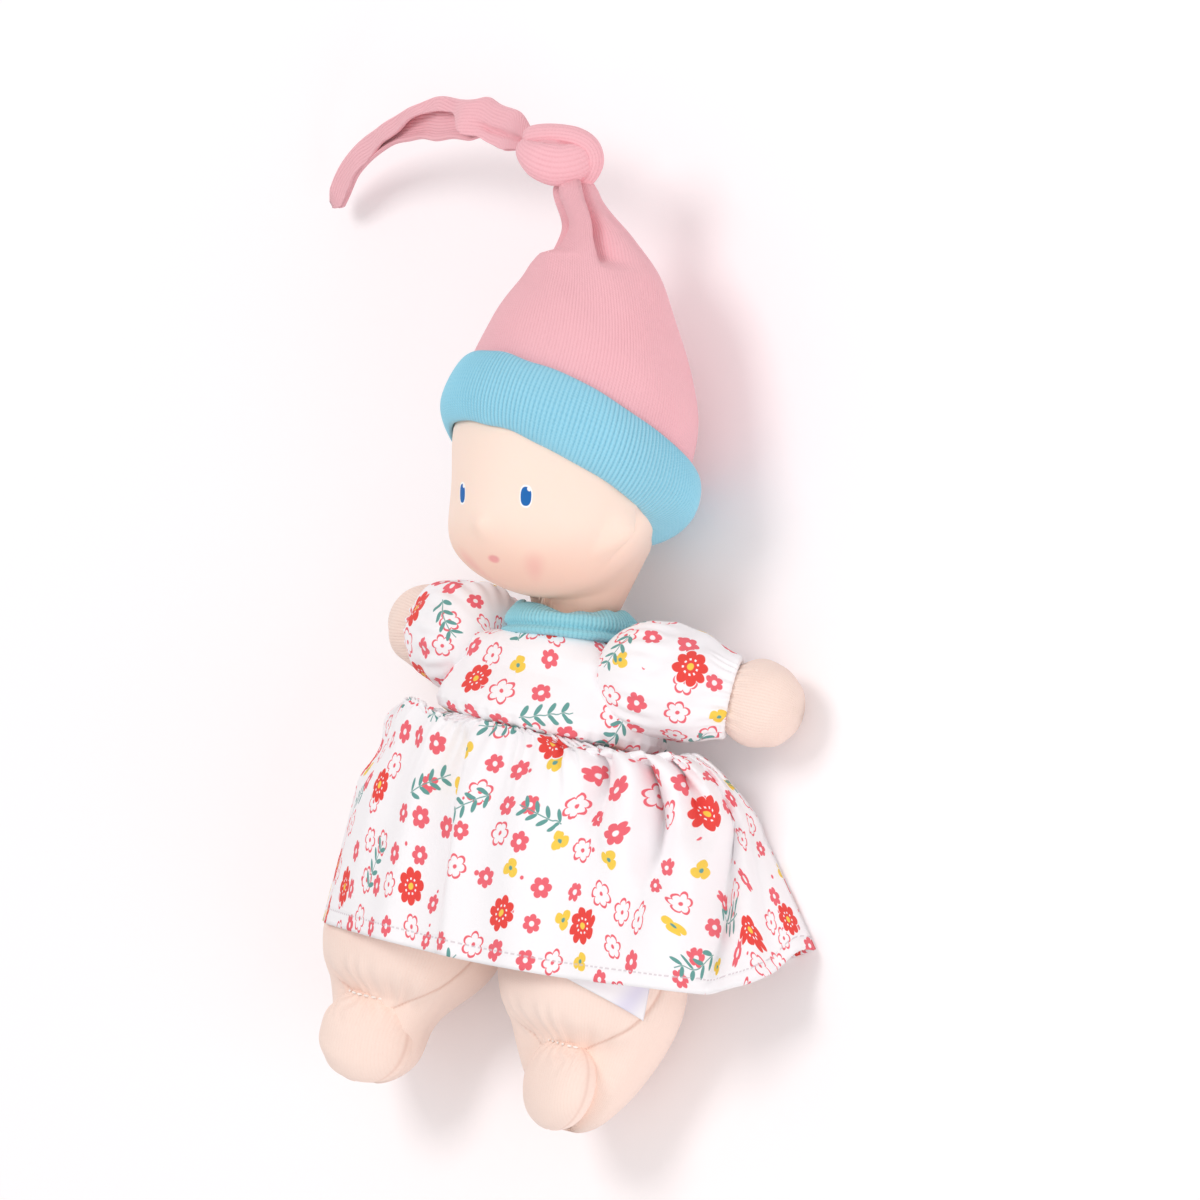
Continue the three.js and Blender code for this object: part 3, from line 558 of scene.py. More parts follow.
class Graph:
    """The nodes of one material."""

    def __init__(self, name: str) -> None:
        """Starts a material with nothing but its output."""
        self.material = bpy.data.materials.new(name)
        self.material.use_nodes = True
        self.tree = self.material.node_tree
        self.tree.nodes.clear()
        self.output = self.node("ShaderNodeOutputMaterial", {}, {})

    def node(self, kind: str, settings: dict[str, Any], values: dict[Any, Any]) -> Any:
        """Any node, with its settings set first and then its sockets' values or links.

        Args:
            kind: The node's type.
            settings: Attributes of the node.
            values: Numbers, colours, values or sockets by the input's name or place.

        Returns:
            The new node.
        """
        made = self.tree.nodes.new(kind)
        for key, setting in settings.items():
            setattr(made, key, setting)
        for key, value in values.items():
            socket = made.inputs[key]
            if isinstance(value, Value):
                self.tree.links.new(value.socket, socket)
            elif isinstance(value, bpy.types.NodeSocket):
                self.tree.links.new(value, socket)
            else:
                socket.default_value = value
        return made

    def number(self, operation: str, *parts: Any) -> Value:
        """A Math node whose first part may be a plain number."""
        made = self.node("ShaderNodeMath", {"operation": operation}, dict(enumerate(parts)))
        return Value(self, made.outputs[0])

    def cloth(self) -> tuple[Value, Value, Any]:
        """The piece's own cloth map: across, along, and both as a vector."""
        read = self.node("ShaderNodeUVMap", {"uv_map": "cloth"}, {})
        parts = self.node("ShaderNodeSeparateXYZ", {}, {0: read.outputs[0]})
        return Value(self, parts.outputs[0]), Value(self, parts.outputs[1]), read.outputs[0]

    def mark(self, name: str) -> Value:
        """A number laid on the piece's points."""
        read = self.node("ShaderNodeAttribute", {"attribute_name": name}, {})
        return Value(self, read.outputs["Fac"])

    def noise(self, scale: float, detail: float = 3.0) -> Value:
        """Noise on the object's own coordinates, in features to the metre."""
        place = self.node("ShaderNodeTexCoord", {}, {})
        values = {"Vector": place.outputs["Object"], "Scale": scale, "Detail": detail}
        made = self.node("ShaderNodeTexNoise", {}, values)
        return Value(self, made.outputs[0])

    def blend(self, share: Any, low: Any, high: Any) -> Any:
        """A colour between two colours."""
        made = self.node("ShaderNodeMix", {"data_type": "RGBA"}, {0: share, 6: low, 7: high})
        return made.outputs[2]

    def relief(self, height: Value, depth: float, strength: float = 1.0, under: Any = None) -> Any:
        """A bump of so many millimetres, over another one if given."""
        values = {"Height": height, "Distance": depth * MM, "Strength": strength}
        if under is not None:
            values["Normal"] = under
        return self.node("ShaderNodeBump", {}, values).outputs[0]

    def finish(self, values: dict[str, Any]) -> bpy.types.Material:
        """Sets the Principled shader's sockets and closes the material."""
        shader = self.node("ShaderNodeBsdfPrincipled", {}, values)
        self.tree.links.new(shader.outputs[0], self.output.inputs["Surface"])
        return self.material


# Finishes


@dataclass(frozen=True)
class Knit:
    """Jersey or rib: columns of stitches along the cloth map's second direction, with painted shade in the
    valleys between them.
    """

    name: str
    colour: Colour
    # The dark colour: painted shade in the valleys, and the dark end of a random tone.
    shade: Colour
    wale: float
    course: float
    depth: float
    # How strongly the valleys between columns and stitches are painted darker, as shade.
    painted_valley_shade: float = 0.6
    seam_colour: Colour | None = None

    def material(self) -> bpy.types.Material:
        """Columns from a sine across, stitches from slanted sines along, a felted noise over both, and
        painted shade in the valleys.
        """
        g = Graph(self.name)
        across, along, _ = g.cloth()
        column = (across * (math.pi / self.wale)).sin()
        ridge = abs(column) ** 0.7
        slant = abs((across / self.wale).fraction() - 0.5)
        stitch = ((along / self.course + slant * 0.9) * TURN).sin() * 0.5 + 0.5
        felt = g.noise(1500.0)
        patch = g.noise(60.0, 2.0)
        height = ridge * 0.75 + stitch * ridge * 0.45 + felt * 0.35
        # Painted shade: the colour is darker in the valleys between columns and stitches.
        lift = ridge * self.painted_valley_shade + stitch * (0.4 * self.painted_valley_shade) + (1.0 - 1.15 * self.painted_valley_shade)
        # The tone mixes that painted shade with a random felted and patchy tone.
        tone = (lift * 0.8 + felt * 0.25 + (patch - 0.5) * 0.25).ease(0.0, 1.0)
        colour = g.blend(tone, self.shade, self.colour)
        if self.seam_colour is not None:
            seam = g.mark("seam")
            colour = g.blend(seam * 0.45, colour, self.seam_colour)
            height = height - seam * 2.0
        normal = g.relief(height, self.depth)
        return g.finish({"Base Color": colour, "Roughness": 0.95, "Normal": normal, "Sheen Weight": 0.25,
                         "Sheen Roughness": 0.5, "Specular IOR Level": 0.2})


@dataclass(frozen=True)
class Lattice:
    """Places for a print's motifs: the pitch in millimetres, how far they wander, and an offset."""

    cell: float
    spread: float
    shift: float


@dataclass(frozen=True)
class Printed:
    """White woven cotton with a small floral print, laid out on the cloth map."""

    name: str = "printed_cotton"
    ground: Colour = srgb(253, 250, 252)
    coral: Colour = srgb(242, 108, 120)
    red: Colour = srgb(238, 76, 70)
    yellow: Colour = srgb(250, 210, 84)
    leaf: Colour = srgb(104, 162, 156)
    # The grey of the painted shade along the hem's stitch line.
    stitch: Colour = srgb(214, 200, 206)
    edge: float = 0.12
    hem: float = 3.4
    dots: Lattice = Lattice(cell=7.4, spread=0.8, shift=13.0)
    flowers: Lattice = Lattice(cell=8.2, spread=0.34, shift=47.0)
    blooms: Lattice = Lattice(cell=19.0, spread=0.4, shift=91.0)
    dot_from: float = 0.7
    solid_to: float = 0.4
    outline_to: float = 0.78
    bud_from: float = 0.9
    bloom_to: float = 0.4
    sprig_to: float = 0.8
    weave: float = 0.42
    stitch_pitch: float = 1.8

    def scatter(self, g: Graph, spot: Any, lattice: Lattice) -> tuple[Value, ...]:
        """Places a motif in each cell of an uneven lattice.

        Args:
            g: The material's nodes.
            spot: The cloth map as a vector.
            lattice: The motifs' places.

        Returns:
            The place from the motif's middle, turned at random, and two random numbers.
        """
        offset = (lattice.shift, lattice.shift * 0.37, 0.0)
        moved = g.node("ShaderNodeVectorMath", {"operation": "ADD"}, {0: spot, 1: offset})
        values = {"Vector": moved.outputs[0], "Scale": 1.0 / lattice.cell, "Randomness": lattice.spread}
        cells = g.node("ShaderNodeTexVoronoi", {"voronoi_dimensions": "2D"}, values)
        away = g.node("ShaderNodeVectorMath", {"operation": "SUBTRACT"},
                      {0: moved.outputs[0], 1: cells.outputs["Position"]})
        parts = g.node("ShaderNodeSeparateXYZ", {}, {0: away.outputs[0]})
        chance = g.node("ShaderNodeSeparateColor", {}, {0: cells.outputs["Color"]})
        x, y = Value(g, parts.outputs[0]), Value(g, parts.outputs[1])
        spin = Value(g, chance.outputs[0]) * TURN
        turn_cos, turn_sin = spin.cos(), spin.sin()
        return (x * turn_cos - y * turn_sin, x * turn_sin + y * turn_cos,
                Value(g, chance.outputs[1]), Value(g, chance.outputs[2]))

    def away(self, x: Value, y: Value) -> Value:
        """The distance from a motif's middle."""
        return (x * x + y * y).root()

    def petals(self, x: Value, y: Value, count: int, dip: float) -> Value:
        """The distance from the middle, stretched so that a circle becomes a flower with round petals."""
        lobe = abs((y.angle(x) * (count / 2.0)).cos())
        return self.away(x, y) / (lobe ** 0.6 * dip + (1.0 - dip))

    def within(self, distance: Value, radius: Any) -> Value:
        """1 inside a radius and 0 outside, with a soft printed edge."""
        return (distance - radius).ease(self.edge, -self.edge)

    def sprig(self, x: Value, y: Value) -> Value:
        """A straight stem with pairs of slanted leaves."""
        pitch = 2.9
        half = 5.8
        run = ((x / pitch).fraction() - 0.5) * pitch
        rise = abs(y) - 1.3
        slant_x = run * 0.64 + rise * 0.77
        slant_y = rise * 0.64 - run * 0.77
        leaf = self.within(oval(slant_x, slant_y, 1.5, 0.52), 1.0)
        stem = self.within(abs(y), 0.13)
        return leaf.most(stem) * self.within(abs(x), half)

    def material(self) -> bpy.types.Material:
        """Three lattices of motifs, small ones under large ones, a stitched hem drawn in painted shade, and
        a fine weave.
        """
        g = Graph(self.name)
        across, along, spot = g.cloth()

        x, y, pick, size = self.scatter(g, spot, self.dots)
        dot = self.within(self.away(x, y), size * 0.3 + 0.35) * pick.over(self.dot_from)
        colour = g.blend(dot, self.ground, self.coral)

        x, y, pick, size = self.scatter(g, spot, self.flowers)
        flower = self.petals(x, y, 6, 0.34)
        radius = size * 0.5 + 2.1
        middle = self.away(x, y)
        solid = self.within(flower, radius) * (1.0 - self.within(middle, 0.62)) * pick.under(self.solid_to)
        line = (1.0 - abs(flower - (radius + 0.4)).ease(0.2, 0.38)).most(self.within(middle, 0.5))
        outlined = line * pick.over(self.solid_to) * pick.under(self.outline_to)
        inside = self.within(flower, radius + 0.5)
        bud = self.within(self.petals(x, y, 3, 0.5), 2.3) * pick.over(self.bud_from)
        colour = g.blend(inside * pick.over(self.solid_to), colour, self.ground)
        medium = g.blend(solid.most(outlined), colour, self.coral)
        medium = g.blend(bud, medium, self.yellow)
        medium = g.blend(bud * self.within(middle, 0.5), medium, self.leaf)

        x, y, pick, size = self.scatter(g, spot, self.blooms)
        middle = self.away(x, y)
        bloom = self.petals(x, y, 8, 0.3)
        is_bloom = pick.under(self.bloom_to)
        is_sprig = pick.over(self.bloom_to) * pick.under(self.sprig_to)
        colour = g.blend(self.within(bloom, size * 0.5 + 4.25) * is_bloom, medium, self.ground)
        colour = g.blend(self.within(bloom, size * 0.5 + 3.9) * is_bloom, colour, self.red)
        ring = abs(middle - 1.65).ease(0.3, 0.16) * ((y.angle(x) * 9.0).cos()).ease(0.1, 0.5)
        colour = g.blend(ring * is_bloom, colour, self.ground)
        colour = g.blend(self.within(middle, 0.75) * is_bloom, colour, self.yellow)
        colour = g.blend(self.sprig(x, y) * is_sprig, colour, self.leaf)

        from_hem = abs(g.mark("hem") - self.hem)
        stitch_shade_dashes = ((across * (TURN / self.stitch_pitch)).sin()).ease(-0.6, -0.2)
        # Painted shade: grey dashes along the hem's stitch line.
        colour = g.blend(from_hem.ease(0.3, 0.1) * stitch_shade_dashes * 0.7, colour, self.stitch)
        weave = (across * (TURN / self.weave)).sin() * (along * (TURN / self.weave)).sin()
        crumple = g.noise(150.0, 4.0)
        under = g.relief(crumple, 0.5, 0.3)
        drawn = g.relief(from_hem.ease(0.1, 0.8), 0.15, 0.7, under)
        normal = g.relief(weave, 0.04, 0.5, drawn)
        return g.finish({"Base Color": colour, "Roughness": 0.9, "Normal": normal, "Sheen Weight": 0.1,
                         "Specular IOR Level": 0.2})


@dataclass(frozen=True)
class PaintedRubber:
    """Pale soft rubber with painted eyes, a mouth and blush, placed by angle and rise on the face, and
    painted shade towards the chin.
    """

    name: str = "painted_rubber"
    skin: Colour = srgb(255, 229, 214)
    # Warmer and darker skin towards the chin: partly the rubber's own tone, partly painted shade under the
    # jaw.
    low_skin_with_shade: Colour = srgb(253, 210, 191)
    blush: Colour = srgb(247, 184, 174)
    lips: Colour = srgb(240, 158, 158)
    iris: Colour = srgb(7, 102, 178)
    white: Colour = srgb(255, 252, 250)
    eye_apart: float = 9.5
    eye_shift: float = 3.2
    eye_rise: float = 23.2
    eye_size: tuple[float, float] = (1.3, 2.1)
    mouth_rise: float = 9.3
    mouth_size: tuple[float, float] = (2.5, 0.8)
    cheek_apart: float = 13.9
    cheek_rise: float = 8.4
    cheek_size: tuple[float, float] = (5.2, 4.2)

    def material(self) -> bpy.types.Material:
        """Ovals on the face's own map, over skin that darkens towards the chin partly as painted shade: a
        white edge, a blue eye with a notch of light, lips and a blush.
        """
        g = Graph(self.name)
        side, rise, _ = g.cloth()
        side = side - self.eye_shift
        # Painted shade: the skin turns darker and warmer towards the chin, partly its own tone.
        colour = g.blend(rise.ease(21.0, 4.0), self.skin, self.low_skin_with_shade)
        away = abs(side)
        cheek = oval(away - self.cheek_apart, rise - self.cheek_rise, *self.cheek_size)
        colour = g.blend(cheek.ease(1.0, 0.0) * 0.6, colour, self.blush)
        lip = side + 0.6
        level = rise - self.mouth_rise - lip * 0.03
        mouth = oval(lip, level, *self.mouth_size)
        colour = g.blend(mouth.ease(1.25, 0.55) * 0.85, colour, self.lips)
        height = rise - self.eye_rise
        across = side - side.math("SIGN") * self.eye_apart + height * 0.13
        wide, tall = self.eye_size
        eye = (abs(across / wide) ** 2.5 + abs(height / tall) ** 2.5) ** 0.4
        light = oval(across - 0.75, height - 1.75, 0.55, 0.6)
        colour = g.blend(eye.ease(1.26, 1.16), colour, self.white)
        colour = g.blend(eye.ease(1.05, 0.97), colour, self.iris)
        colour = g.blend(light.ease(1.1, 0.8) * eye.ease(1.2, 1.1), colour, self.white)
        pores = g.noise(900.0, 2.0)
        normal = g.relief(pores, 0.03, 0.4)
        return g.finish({"Base Color": colour, "Roughness": 0.55, "Normal": normal,
                         "Subsurface Weight": 0.1, "Subsurface Radius": (0.9, 0.45, 0.3),
                         "Subsurface Scale": 0.003, "Specular IOR Level": 0.3})


@dataclass(frozen=True)
class Plain:
    """One colour with a fine uneven surface, for thread and what is out of sight."""

    name: str
    colour: Colour
    shade: Colour
    roughness: float

    def material(self) -> bpy.types.Material:
        """A patchy tone and a fine grain."""
        g = Graph(self.name)
        tone = g.noise(320.0, 4.0)
        colour = g.blend(tone.ease(0.3, 0.7), self.shade, self.colour)
        normal = g.relief(g.noise(2600.0), 0.06, 0.5)
        return g.finish({"Base Color": colour, "Roughness": self.roughness, "Normal": normal})


@dataclass(frozen=True)
class Satin:
    """White satin ribbon with a painted sheen: a soft lavender band where its threads catch the light."""

    name: str = "label_satin"
    colour: Colour = srgb(251, 249, 252)
    # The lavender of the painted sheen.
    band: Colour = srgb(226, 222, 242)

    def material(self) -> bpy.types.Material:
        """A painted sheen in a smooth lavender band across the ribbon, over fine threads."""
        g = Graph(self.name)
        across, along, _ = g.cloth()
        # Painted sheen: the lavender band across the ribbon.
        band = abs(across * 0.55 + along * 0.25 - 3.2).ease(2.6, 0.0)
        colour = g.blend(band * 0.9, self.colour, self.band)
        normal = g.relief((across * (TURN / 0.3)).sin(), 0.02, 0.4)
        return g.finish({"Base Color": colour, "Roughness": 0.38, "Normal": normal, "Sheen Weight": 0.2})


class Wardrobe:
    """Every finish, made once and shared by the pieces."""

    def __init__(self) -> None:
        """Makes the materials."""
        # Each knit's second colour is its painted valley shade and the dark end of its random tone.
        peach, peach_shade = srgb(253, 229, 217), srgb(244, 200, 180)
        blue, blue_shade = srgb(158, 218, 238), srgb(98, 178, 206)
        teal, teal_shade = srgb(154, 216, 229), srgb(92, 170, 190)
        pink, pink_shade = srgb(249, 189, 197), srgb(232, 146, 157)
        seam = srgb(206, 146, 122)
        self.rubber = PaintedRubber().material()
        self.cotton = Printed().material()
        self.limb = Knit("limb_knit", peach, peach_shade, wale=0.72, course=0.6, depth=0.045,
                         painted_valley_shade=0.16, seam_colour=seam).material()
        self.hand = Knit("hand_knit", peach, peach_shade, wale=0.7, course=0.66, depth=0.09,
                         painted_valley_shade=0.28).material()
        self.jersey = Knit("hat_jersey", pink, pink_shade, wale=0.78, course=0.62, depth=0.11,
                           painted_valley_shade=0.28).material()
        self.rib = Knit("cuff_rib", blue, blue_shade, wale=CUFF_WALE, course=0.6, depth=0.14,
                        painted_valley_shade=0.5).material()
        self.neck_rib = Knit("collar_rib", teal, teal_shade, wale=COLLAR_WALE, course=0.55, depth=0.12,
                             painted_valley_shade=0.45).material()
        self.satin = Satin().material()
        self.thread = Plain("white_thread", srgb(255, 252, 248), srgb(240, 232, 226), 0.7).material()
        self.plug = Plain("plug_rubber", srgb(233, 205, 189), srgb(214, 184, 168), 0.7).material()


def dress(piece: Mesh, material: bpy.types.Material, body: str,
          stands_for: Sequence[str] = ()) -> None:
    """Gives a piece its material, its body and the nodes that it stands for.

    Args:
        piece: The piece.
        material: Its finish.
        body: The body that it moves with.
        stands_for: Nodes that it replaces.
    """
    piece.data.materials.append(material)
    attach(piece, body)
    if stands_for:
        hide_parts(*stands_for)
    LOG.info("%s rides on %s, %d faces", piece.name, body, len(piece.data.polygons))


# Sub-assemblies


@dataclass(frozen=True)
class Bump:
    """A bell on the face: its height, and its place and spread in rise and in angle."""

    height: float
    rise: float
    tall: float
    angle: float
    wide: float
    paired: bool = False

    def over(self, off: Array, y: Array) -> Array:
        """What the bump adds at an angle and a rise."""
        aside = np.abs(off) if self.paired else off
        return self.height * hump(y - self.rise, self.tall) * hump(aside - self.angle, self.wide)


@dataclass
class Head:
    """The hollow rubber head: a full round with a small nose, cheeks and ears, on a short neck."""

    radius: float = 25.0
    chin_rise: float = 3.2
    cranium_rise: float = 36.0
    crown_rise: float = 57.0
    jaw_forward: float = 3.0
    jaw_spread: float = 14.0
    nape_flatness: float = 0.03
    nape_angle: float = math.radians(126.0)
    nape_rise: float = 17.0
    nape_radius: float = 15.0
    neck_radius: float = 9.6
    neck_top: float = 2.0
    neck_foot: float = -9.0
    face_angle: float = math.radians(-4.5)
    ear_angle: float = math.radians(89.5)
    ear_rise: float = 17.0
    ear_height: float = 4.6
    ear_lean: float = 8.0
    ear_hollow: float = 0.7
    ear: float = 3.4
    chin_fade: float = 4.0
    crease: float = 4.0
    ray: float = 90.0
    core: tuple[float, float, float] = (0.0, 26.0, HEAD_FORWARD - 1.0)
    bumps: dict[str, Bump] = field(default_factory=lambda: {
        "nose": Bump(height=1.3, rise=16.0, tall=2.4, angle=0.05, wide=0.11),
        "cheeks": Bump(height=0.9, rise=10.5, tall=6.0, angle=0.62, wide=0.4, paired=True),
        "brow": Bump(height=-0.35, rise=22.0, tall=5.0, angle=0.42, wide=0.22, paired=True),
        "temple": Bump(height=-1.3, rise=25.0, tall=9.0, angle=-0.8, wide=0.42),
        "lips": Bump(height=-0.25, rise=9.3, tall=0.9, angle=0.1, wide=0.09),
    })

    def round_radius(self, y: Array) -> Array:
        """The round's radius at a rise: a cubic jaw below the brow and a dome above it."""
        above = np.clip((y - self.cranium_rise) / (self.crown_rise - self.cranium_rise), 0.0, 1.0)
        below = np.clip((self.cranium_rise - y) / (self.cranium_rise - self.chin_rise), 0.0, 1.0)
        return self.radius * np.sqrt(np.maximum(0.0, 1.0 - above**2.2 - below**3))

    def forward(self, y: Array) -> Array:
        """How far the round's middle lies in front of the neck: furthest at the jaw."""
        return HEAD_FORWARD + self.jaw_forward * hump(y - self.chin_rise - 6.0, self.jaw_spread)

    def ears(self, off: Array, y: Array) -> Array:
        """The relief ears: a rim that is steep behind and eases away in front, with a hollow in it."""
        behind = np.abs(off) - self.ear_angle
        edge = smooth(behind, -0.28, -0.04) * (1.0 - smooth(behind, 0.02, 0.09))
        edge = edge - 0.25 * hump(behind - 0.15, 0.07)
        lobe = hump(y - self.ear_rise - self.ear_lean * (behind + 0.1), self.ear_height)
        hollow = self.ear_hollow * hump(behind + 0.13, 0.07) * hump(y - self.ear_rise, 2.4)
        return self.ear * edge * lobe - hollow

    def features(self, off: Array, y: Array) -> Array:
        """The bumps of the face and the ears, over angle and rise."""
        return sum(bump.over(off, y) for bump in self.bumps.values()) + self.ears(off, y)

    def inside(self, p: Array) -> Array:
        """Above 0 in the union of the featured round and the neck's rod, which widens into the nape."""
        x, y, z = p[..., 0], p[..., 1], p[..., 2]
        forward = self.forward(y)
        off = wrapped(np.arctan2(x, z - forward) - self.face_angle)
        swell = self.features(off, y) * smooth(y, self.chin_rise, self.chin_rise + self.chin_fade)
        nape = 1.0 - self.nape_flatness * hump(np.abs(off) - self.nape_angle, 0.6) * hump(y - 16.0, 13.0)
        skull = self.round_radius(y) * nape + swell - np.hypot(x, z - forward)
        share = np.clip((y - self.neck_top) / (self.nape_rise - self.neck_top), 0.0, 1.0)
        rod = mix(self.neck_radius, self.nape_radius, share) - np.hypot(x, z)
        rod = np.minimum(np.minimum(rod, y - self.neck_foot), self.nape_rise + 4.0 - y)
        return round_union(skull, rod, self.crease)

    def build(self, wardrobe: Wardrobe) -> None:
        """Casts rays from inside the skull over polar angle and turn, and dresses the shell."""
        u, v = grid(210, 260, wrap=True)
        polar = math.pi * mix(v, smooth(v, 0.0, 1.0), 0.35)
        polar = np.clip(polar, 0.02, math.pi - 0.02)
        turn = TURN * (u - 0.5)
        headings = stack(np.sin(polar) * np.sin(turn), -np.cos(polar), np.sin(polar) * np.cos(turn))
        points = root_along(self.inside, np.array(self.core), headings, self.ray)
        wide = closed(points)
        off = np.arctan2(wide[..., 0], wide[..., 2] - self.forward(wide[..., 1])) - self.face_angle
        off = off + TURN * np.round((TURN * (ring_of(u) - 0.5) - off) / TURN)
        cloth = np.stack([off * self.radius, wide[..., 1]], axis=-1)
        shell = lay("head_skin", from_head(points), cloth, wrap=True, caps=(True, True))
        dress(shell, wardrobe.rubber, "head", ["head_shell"])


@dataclass(frozen=True)
class Wrap:
    """One turn of the tube in the knot: right, up, near and half width at each station."""

    name: str
    thick: float
    stations: tuple[tuple[float, float, float, float], ...]


@dataclass
class Hat:
    """The knitted hat: a cone drawn into folds under a knot, a folded rib cuff, and a folded tail."""

    crown_radius: float = 26.0
    cuff_radius: float = 27.5
    cuff_wall: float = 2.6
    cuff_height: float = 16.5
    cranium_rise: float = 36.0
    front_lift: float = 10.5
    side_lift: float = -4.6
    tip_rise: float = 96.0
    tip_radius: float = 4.4
    tip_shift: float = -2.6
    tip_forward: float = 3.6
    base_shift: float = -1.0
    knot: tuple[float, float, float] = (-6.0, 101.5, HEAD_FORWARD + 5.5)
    knot_back: float = 6.0
    stub: float = 4.0
    bell_foot: float = 6.0
    cuff_length: float = 40.0
    seen_side: float = math.radians(40.0)
    ribs: int = 172
    tail_width: float = 4.7
    tail_rise: float = 2.3
    tail_route: list[tuple[float, float, float]] = field(default_factory=lambda: [
        (-1.0, -1.5, 0.5), (-16.0, 3.5, -0.5), (-32.0, 3.5, -3.5), (-46.0, 1.5, -8.5),
        (-61.0, -3.0, -16.0), (-74.5, -10.5, -24.0), (-83.0, -20.5, -30.8),
    ])
    wraps: list[Wrap] = field(default_factory=lambda: [
        Wrap("knot_front_wrap", 2.5, (
            (-4.0, 2.6, -2.5, 2.2), (-7.4, 1.4, 0.6, 2.6), (-5.0, -0.8, 3.4, 4.2), (-1.0, -2.0, 4.4, 4.8),
            (3.0, -1.4, 3.8, 4.5), (5.6, 0.4, 1.8, 3.4), (4.2, 2.4, -2.0, 2.2))),
        Wrap("knot_loop", 2.5, (
            (-4.5, 2.6, -3.0, 2.2), (-6.0, 4.2, -0.2, 2.7), (-1.6, 4.7, 1.6, 2.6), (3.0, 4.1, 2.6, 2.6),
            (6.3, 2.0, 2.8, 2.5), (7.2, -1.4, 2.2, 2.5), (5.2, -4.6, 0.6, 2.4), (1.0, -4.2, -2.0, 2.0))),
        Wrap("knot_back_wrap", 2.4, (
            (5.0, 1.5, 1.0, 2.4), (6.0, -1.6, -2.4, 3.2), (1.5, -0.6, -5.0, 4.0), (-3.5, 1.8, -4.4, 3.4),
            (-5.8, 2.8, -0.5, 2.4))),
        Wrap("knot_bundle", 4.8, (
            (-5.6, 0.6, -0.4, 4.0), (-3.0, 0.2, 0.0, 5.4), (0.0, 0.0, 0.4, 5.8), (3.0, 0.2, 0.0, 5.4),
            (5.4, 0.0, -0.4, 4.0))),
    ])

    def tilt(self, turn: Array) -> Array:
        """How far the cuff rises at an angle: high on the brow and low at the nape."""
        return self.front_lift * np.cos(turn) + self.side_lift * np.sin(turn)

    def leaned(self, x: Array, y: Array, z: Array, rise: Array) -> Array:
        """Points leaned as the tilted cuff is: the further above its lower edge, the further."""
        share = np.maximum(0.0, rise + self.cuff_height / 2.0) / (2.0 * self.cuff_radius)
        return stack(x - self.side_lift * share, y, z - self.front_lift * share)

    def folds(self, off: Array, t: Array) -> Array:
        """The two strands under the knot: a deep crease between them, and a step on the outline below.

        Args:
            off: The angle from the side that faces the camera.
            t: The height from the cuff at 0 to the knot at 1.

        Returns:
            What the folds add to the cone's radius.
        """
        away = off - 0.3 - 0.28 * smooth(t, 0.75, 1.0)
        gap = np.where(away < 0.0, hump(away, 0.13), hump(away, 0.42))
        crease = -4.3 * gap * smooth(t, 0.635, 0.695) * (1.0 - 0.45 * smooth(t, 0.8, 1.0))
        lip = 1.4 * hump(off + 0.6, 0.75) * smooth(t, 0.66, 0.73) * (1.0 - 0.7 * smooth(t, 0.85, 1.0))
        step = -3.3 * hump(off + 1.45, 0.85) * smooth(t, 0.69, 0.725) * (1.0 - smooth(t, 0.78, 0.96))
        shoulder = hump(off + 1.2, 0.8) * (1.0 * hump(t - 0.66, 0.05) + 1.2 * hump(t - 0.43, 0.16))
        pull = -0.5 * hump(off + 0.5 + 3.0 * (t - 0.6), 0.14) * hump(t - 0.6, 0.12)
        bulge = hump(off - 1.25, 0.8) * (4.9 * hump(t - 0.66, 0.18) - 1.0 * hump(t - 0.3, 0.2))
        return crease + lip + step + shoulder + pull + bulge

    def crown(self, wardrobe: Wardrobe) -> None:
        """The cone over turn and height: a bell, drawn in by folds that deepen towards the knot."""
        u, v = grid(230, 330, wrap=True)
        off = TURN * (u - 0.5)
        turn = off + self.seen_side
        end = self.tip_rise + self.stub
        y = mix(self.cranium_rise - 2.0, end, v) + (1.0 - v) ** 3 * self.tilt(turn)
        span = self.tip_rise - self.cranium_rise - self.bell_foot
        t = np.clip((y - self.cranium_rise - self.bell_foot) / span, 0.0, 1.0)
        bell = 0.5 + 0.5 * np.cos(math.pi * t**1.38)
        cone = mix(self.tip_radius, self.crown_radius, bell)
        gather = smooth(t, 0.55, 1.0)
        pleats = cone * gather * (0.12 * np.cos(5.0 * turn + 0.6) + 0.04 * np.cos(11.0 * turn))
        pleats = pleats * smooth(np.abs(off), 0.5, 1.6)
        soft = 0.4 * around(turn, 5.0, 2.5 * v, 5) * smooth(t, 0.02, 0.3)
        rise = y - self.cranium_rise - self.tilt(turn)
        seated = 1.0 - smooth(rise, 0.0, self.cuff_height / 2.0)
        radius = np.maximum(2.0, cone + self.folds(off, t) + pleats + soft + 0.9 * seated)
        radius = radius * mix(1.0, 0.35, smooth(y, self.tip_rise - 2.0, end))
        bend = smooth(t, 0.8, 1.0) + np.maximum(0.0, y - self.tip_rise) / 9.0
        upright = 1.0 - smooth(rise, self.cuff_height / 2.0, 3.0 * self.cuff_height)
        lean = (rise + self.cuff_height / 2.0) * upright - self.cuff_height / 2.0
        aside = mix(self.base_shift * (1.0 - seated), self.tip_shift, bend)
        points = self.leaned(aside + radius * np.sin(turn), y,
                             HEAD_FORWARD + self.tip_forward * bend + radius * np.cos(turn), lean)
        points = from_head(points)
        width = closed(mix(cone, self.crown_radius, 0.3))
        cloth = np.stack([(ring_of(u) - 0.5) * TURN * width, span_down(closed(points))], axis=-1)
        piece = lay("hat_cone", points, cloth, wrap=True)
        thicken(piece, 1.0)
        dress(piece, wardrobe.jersey, "hat", ["hat_crown"])
        area_of(closed(points))

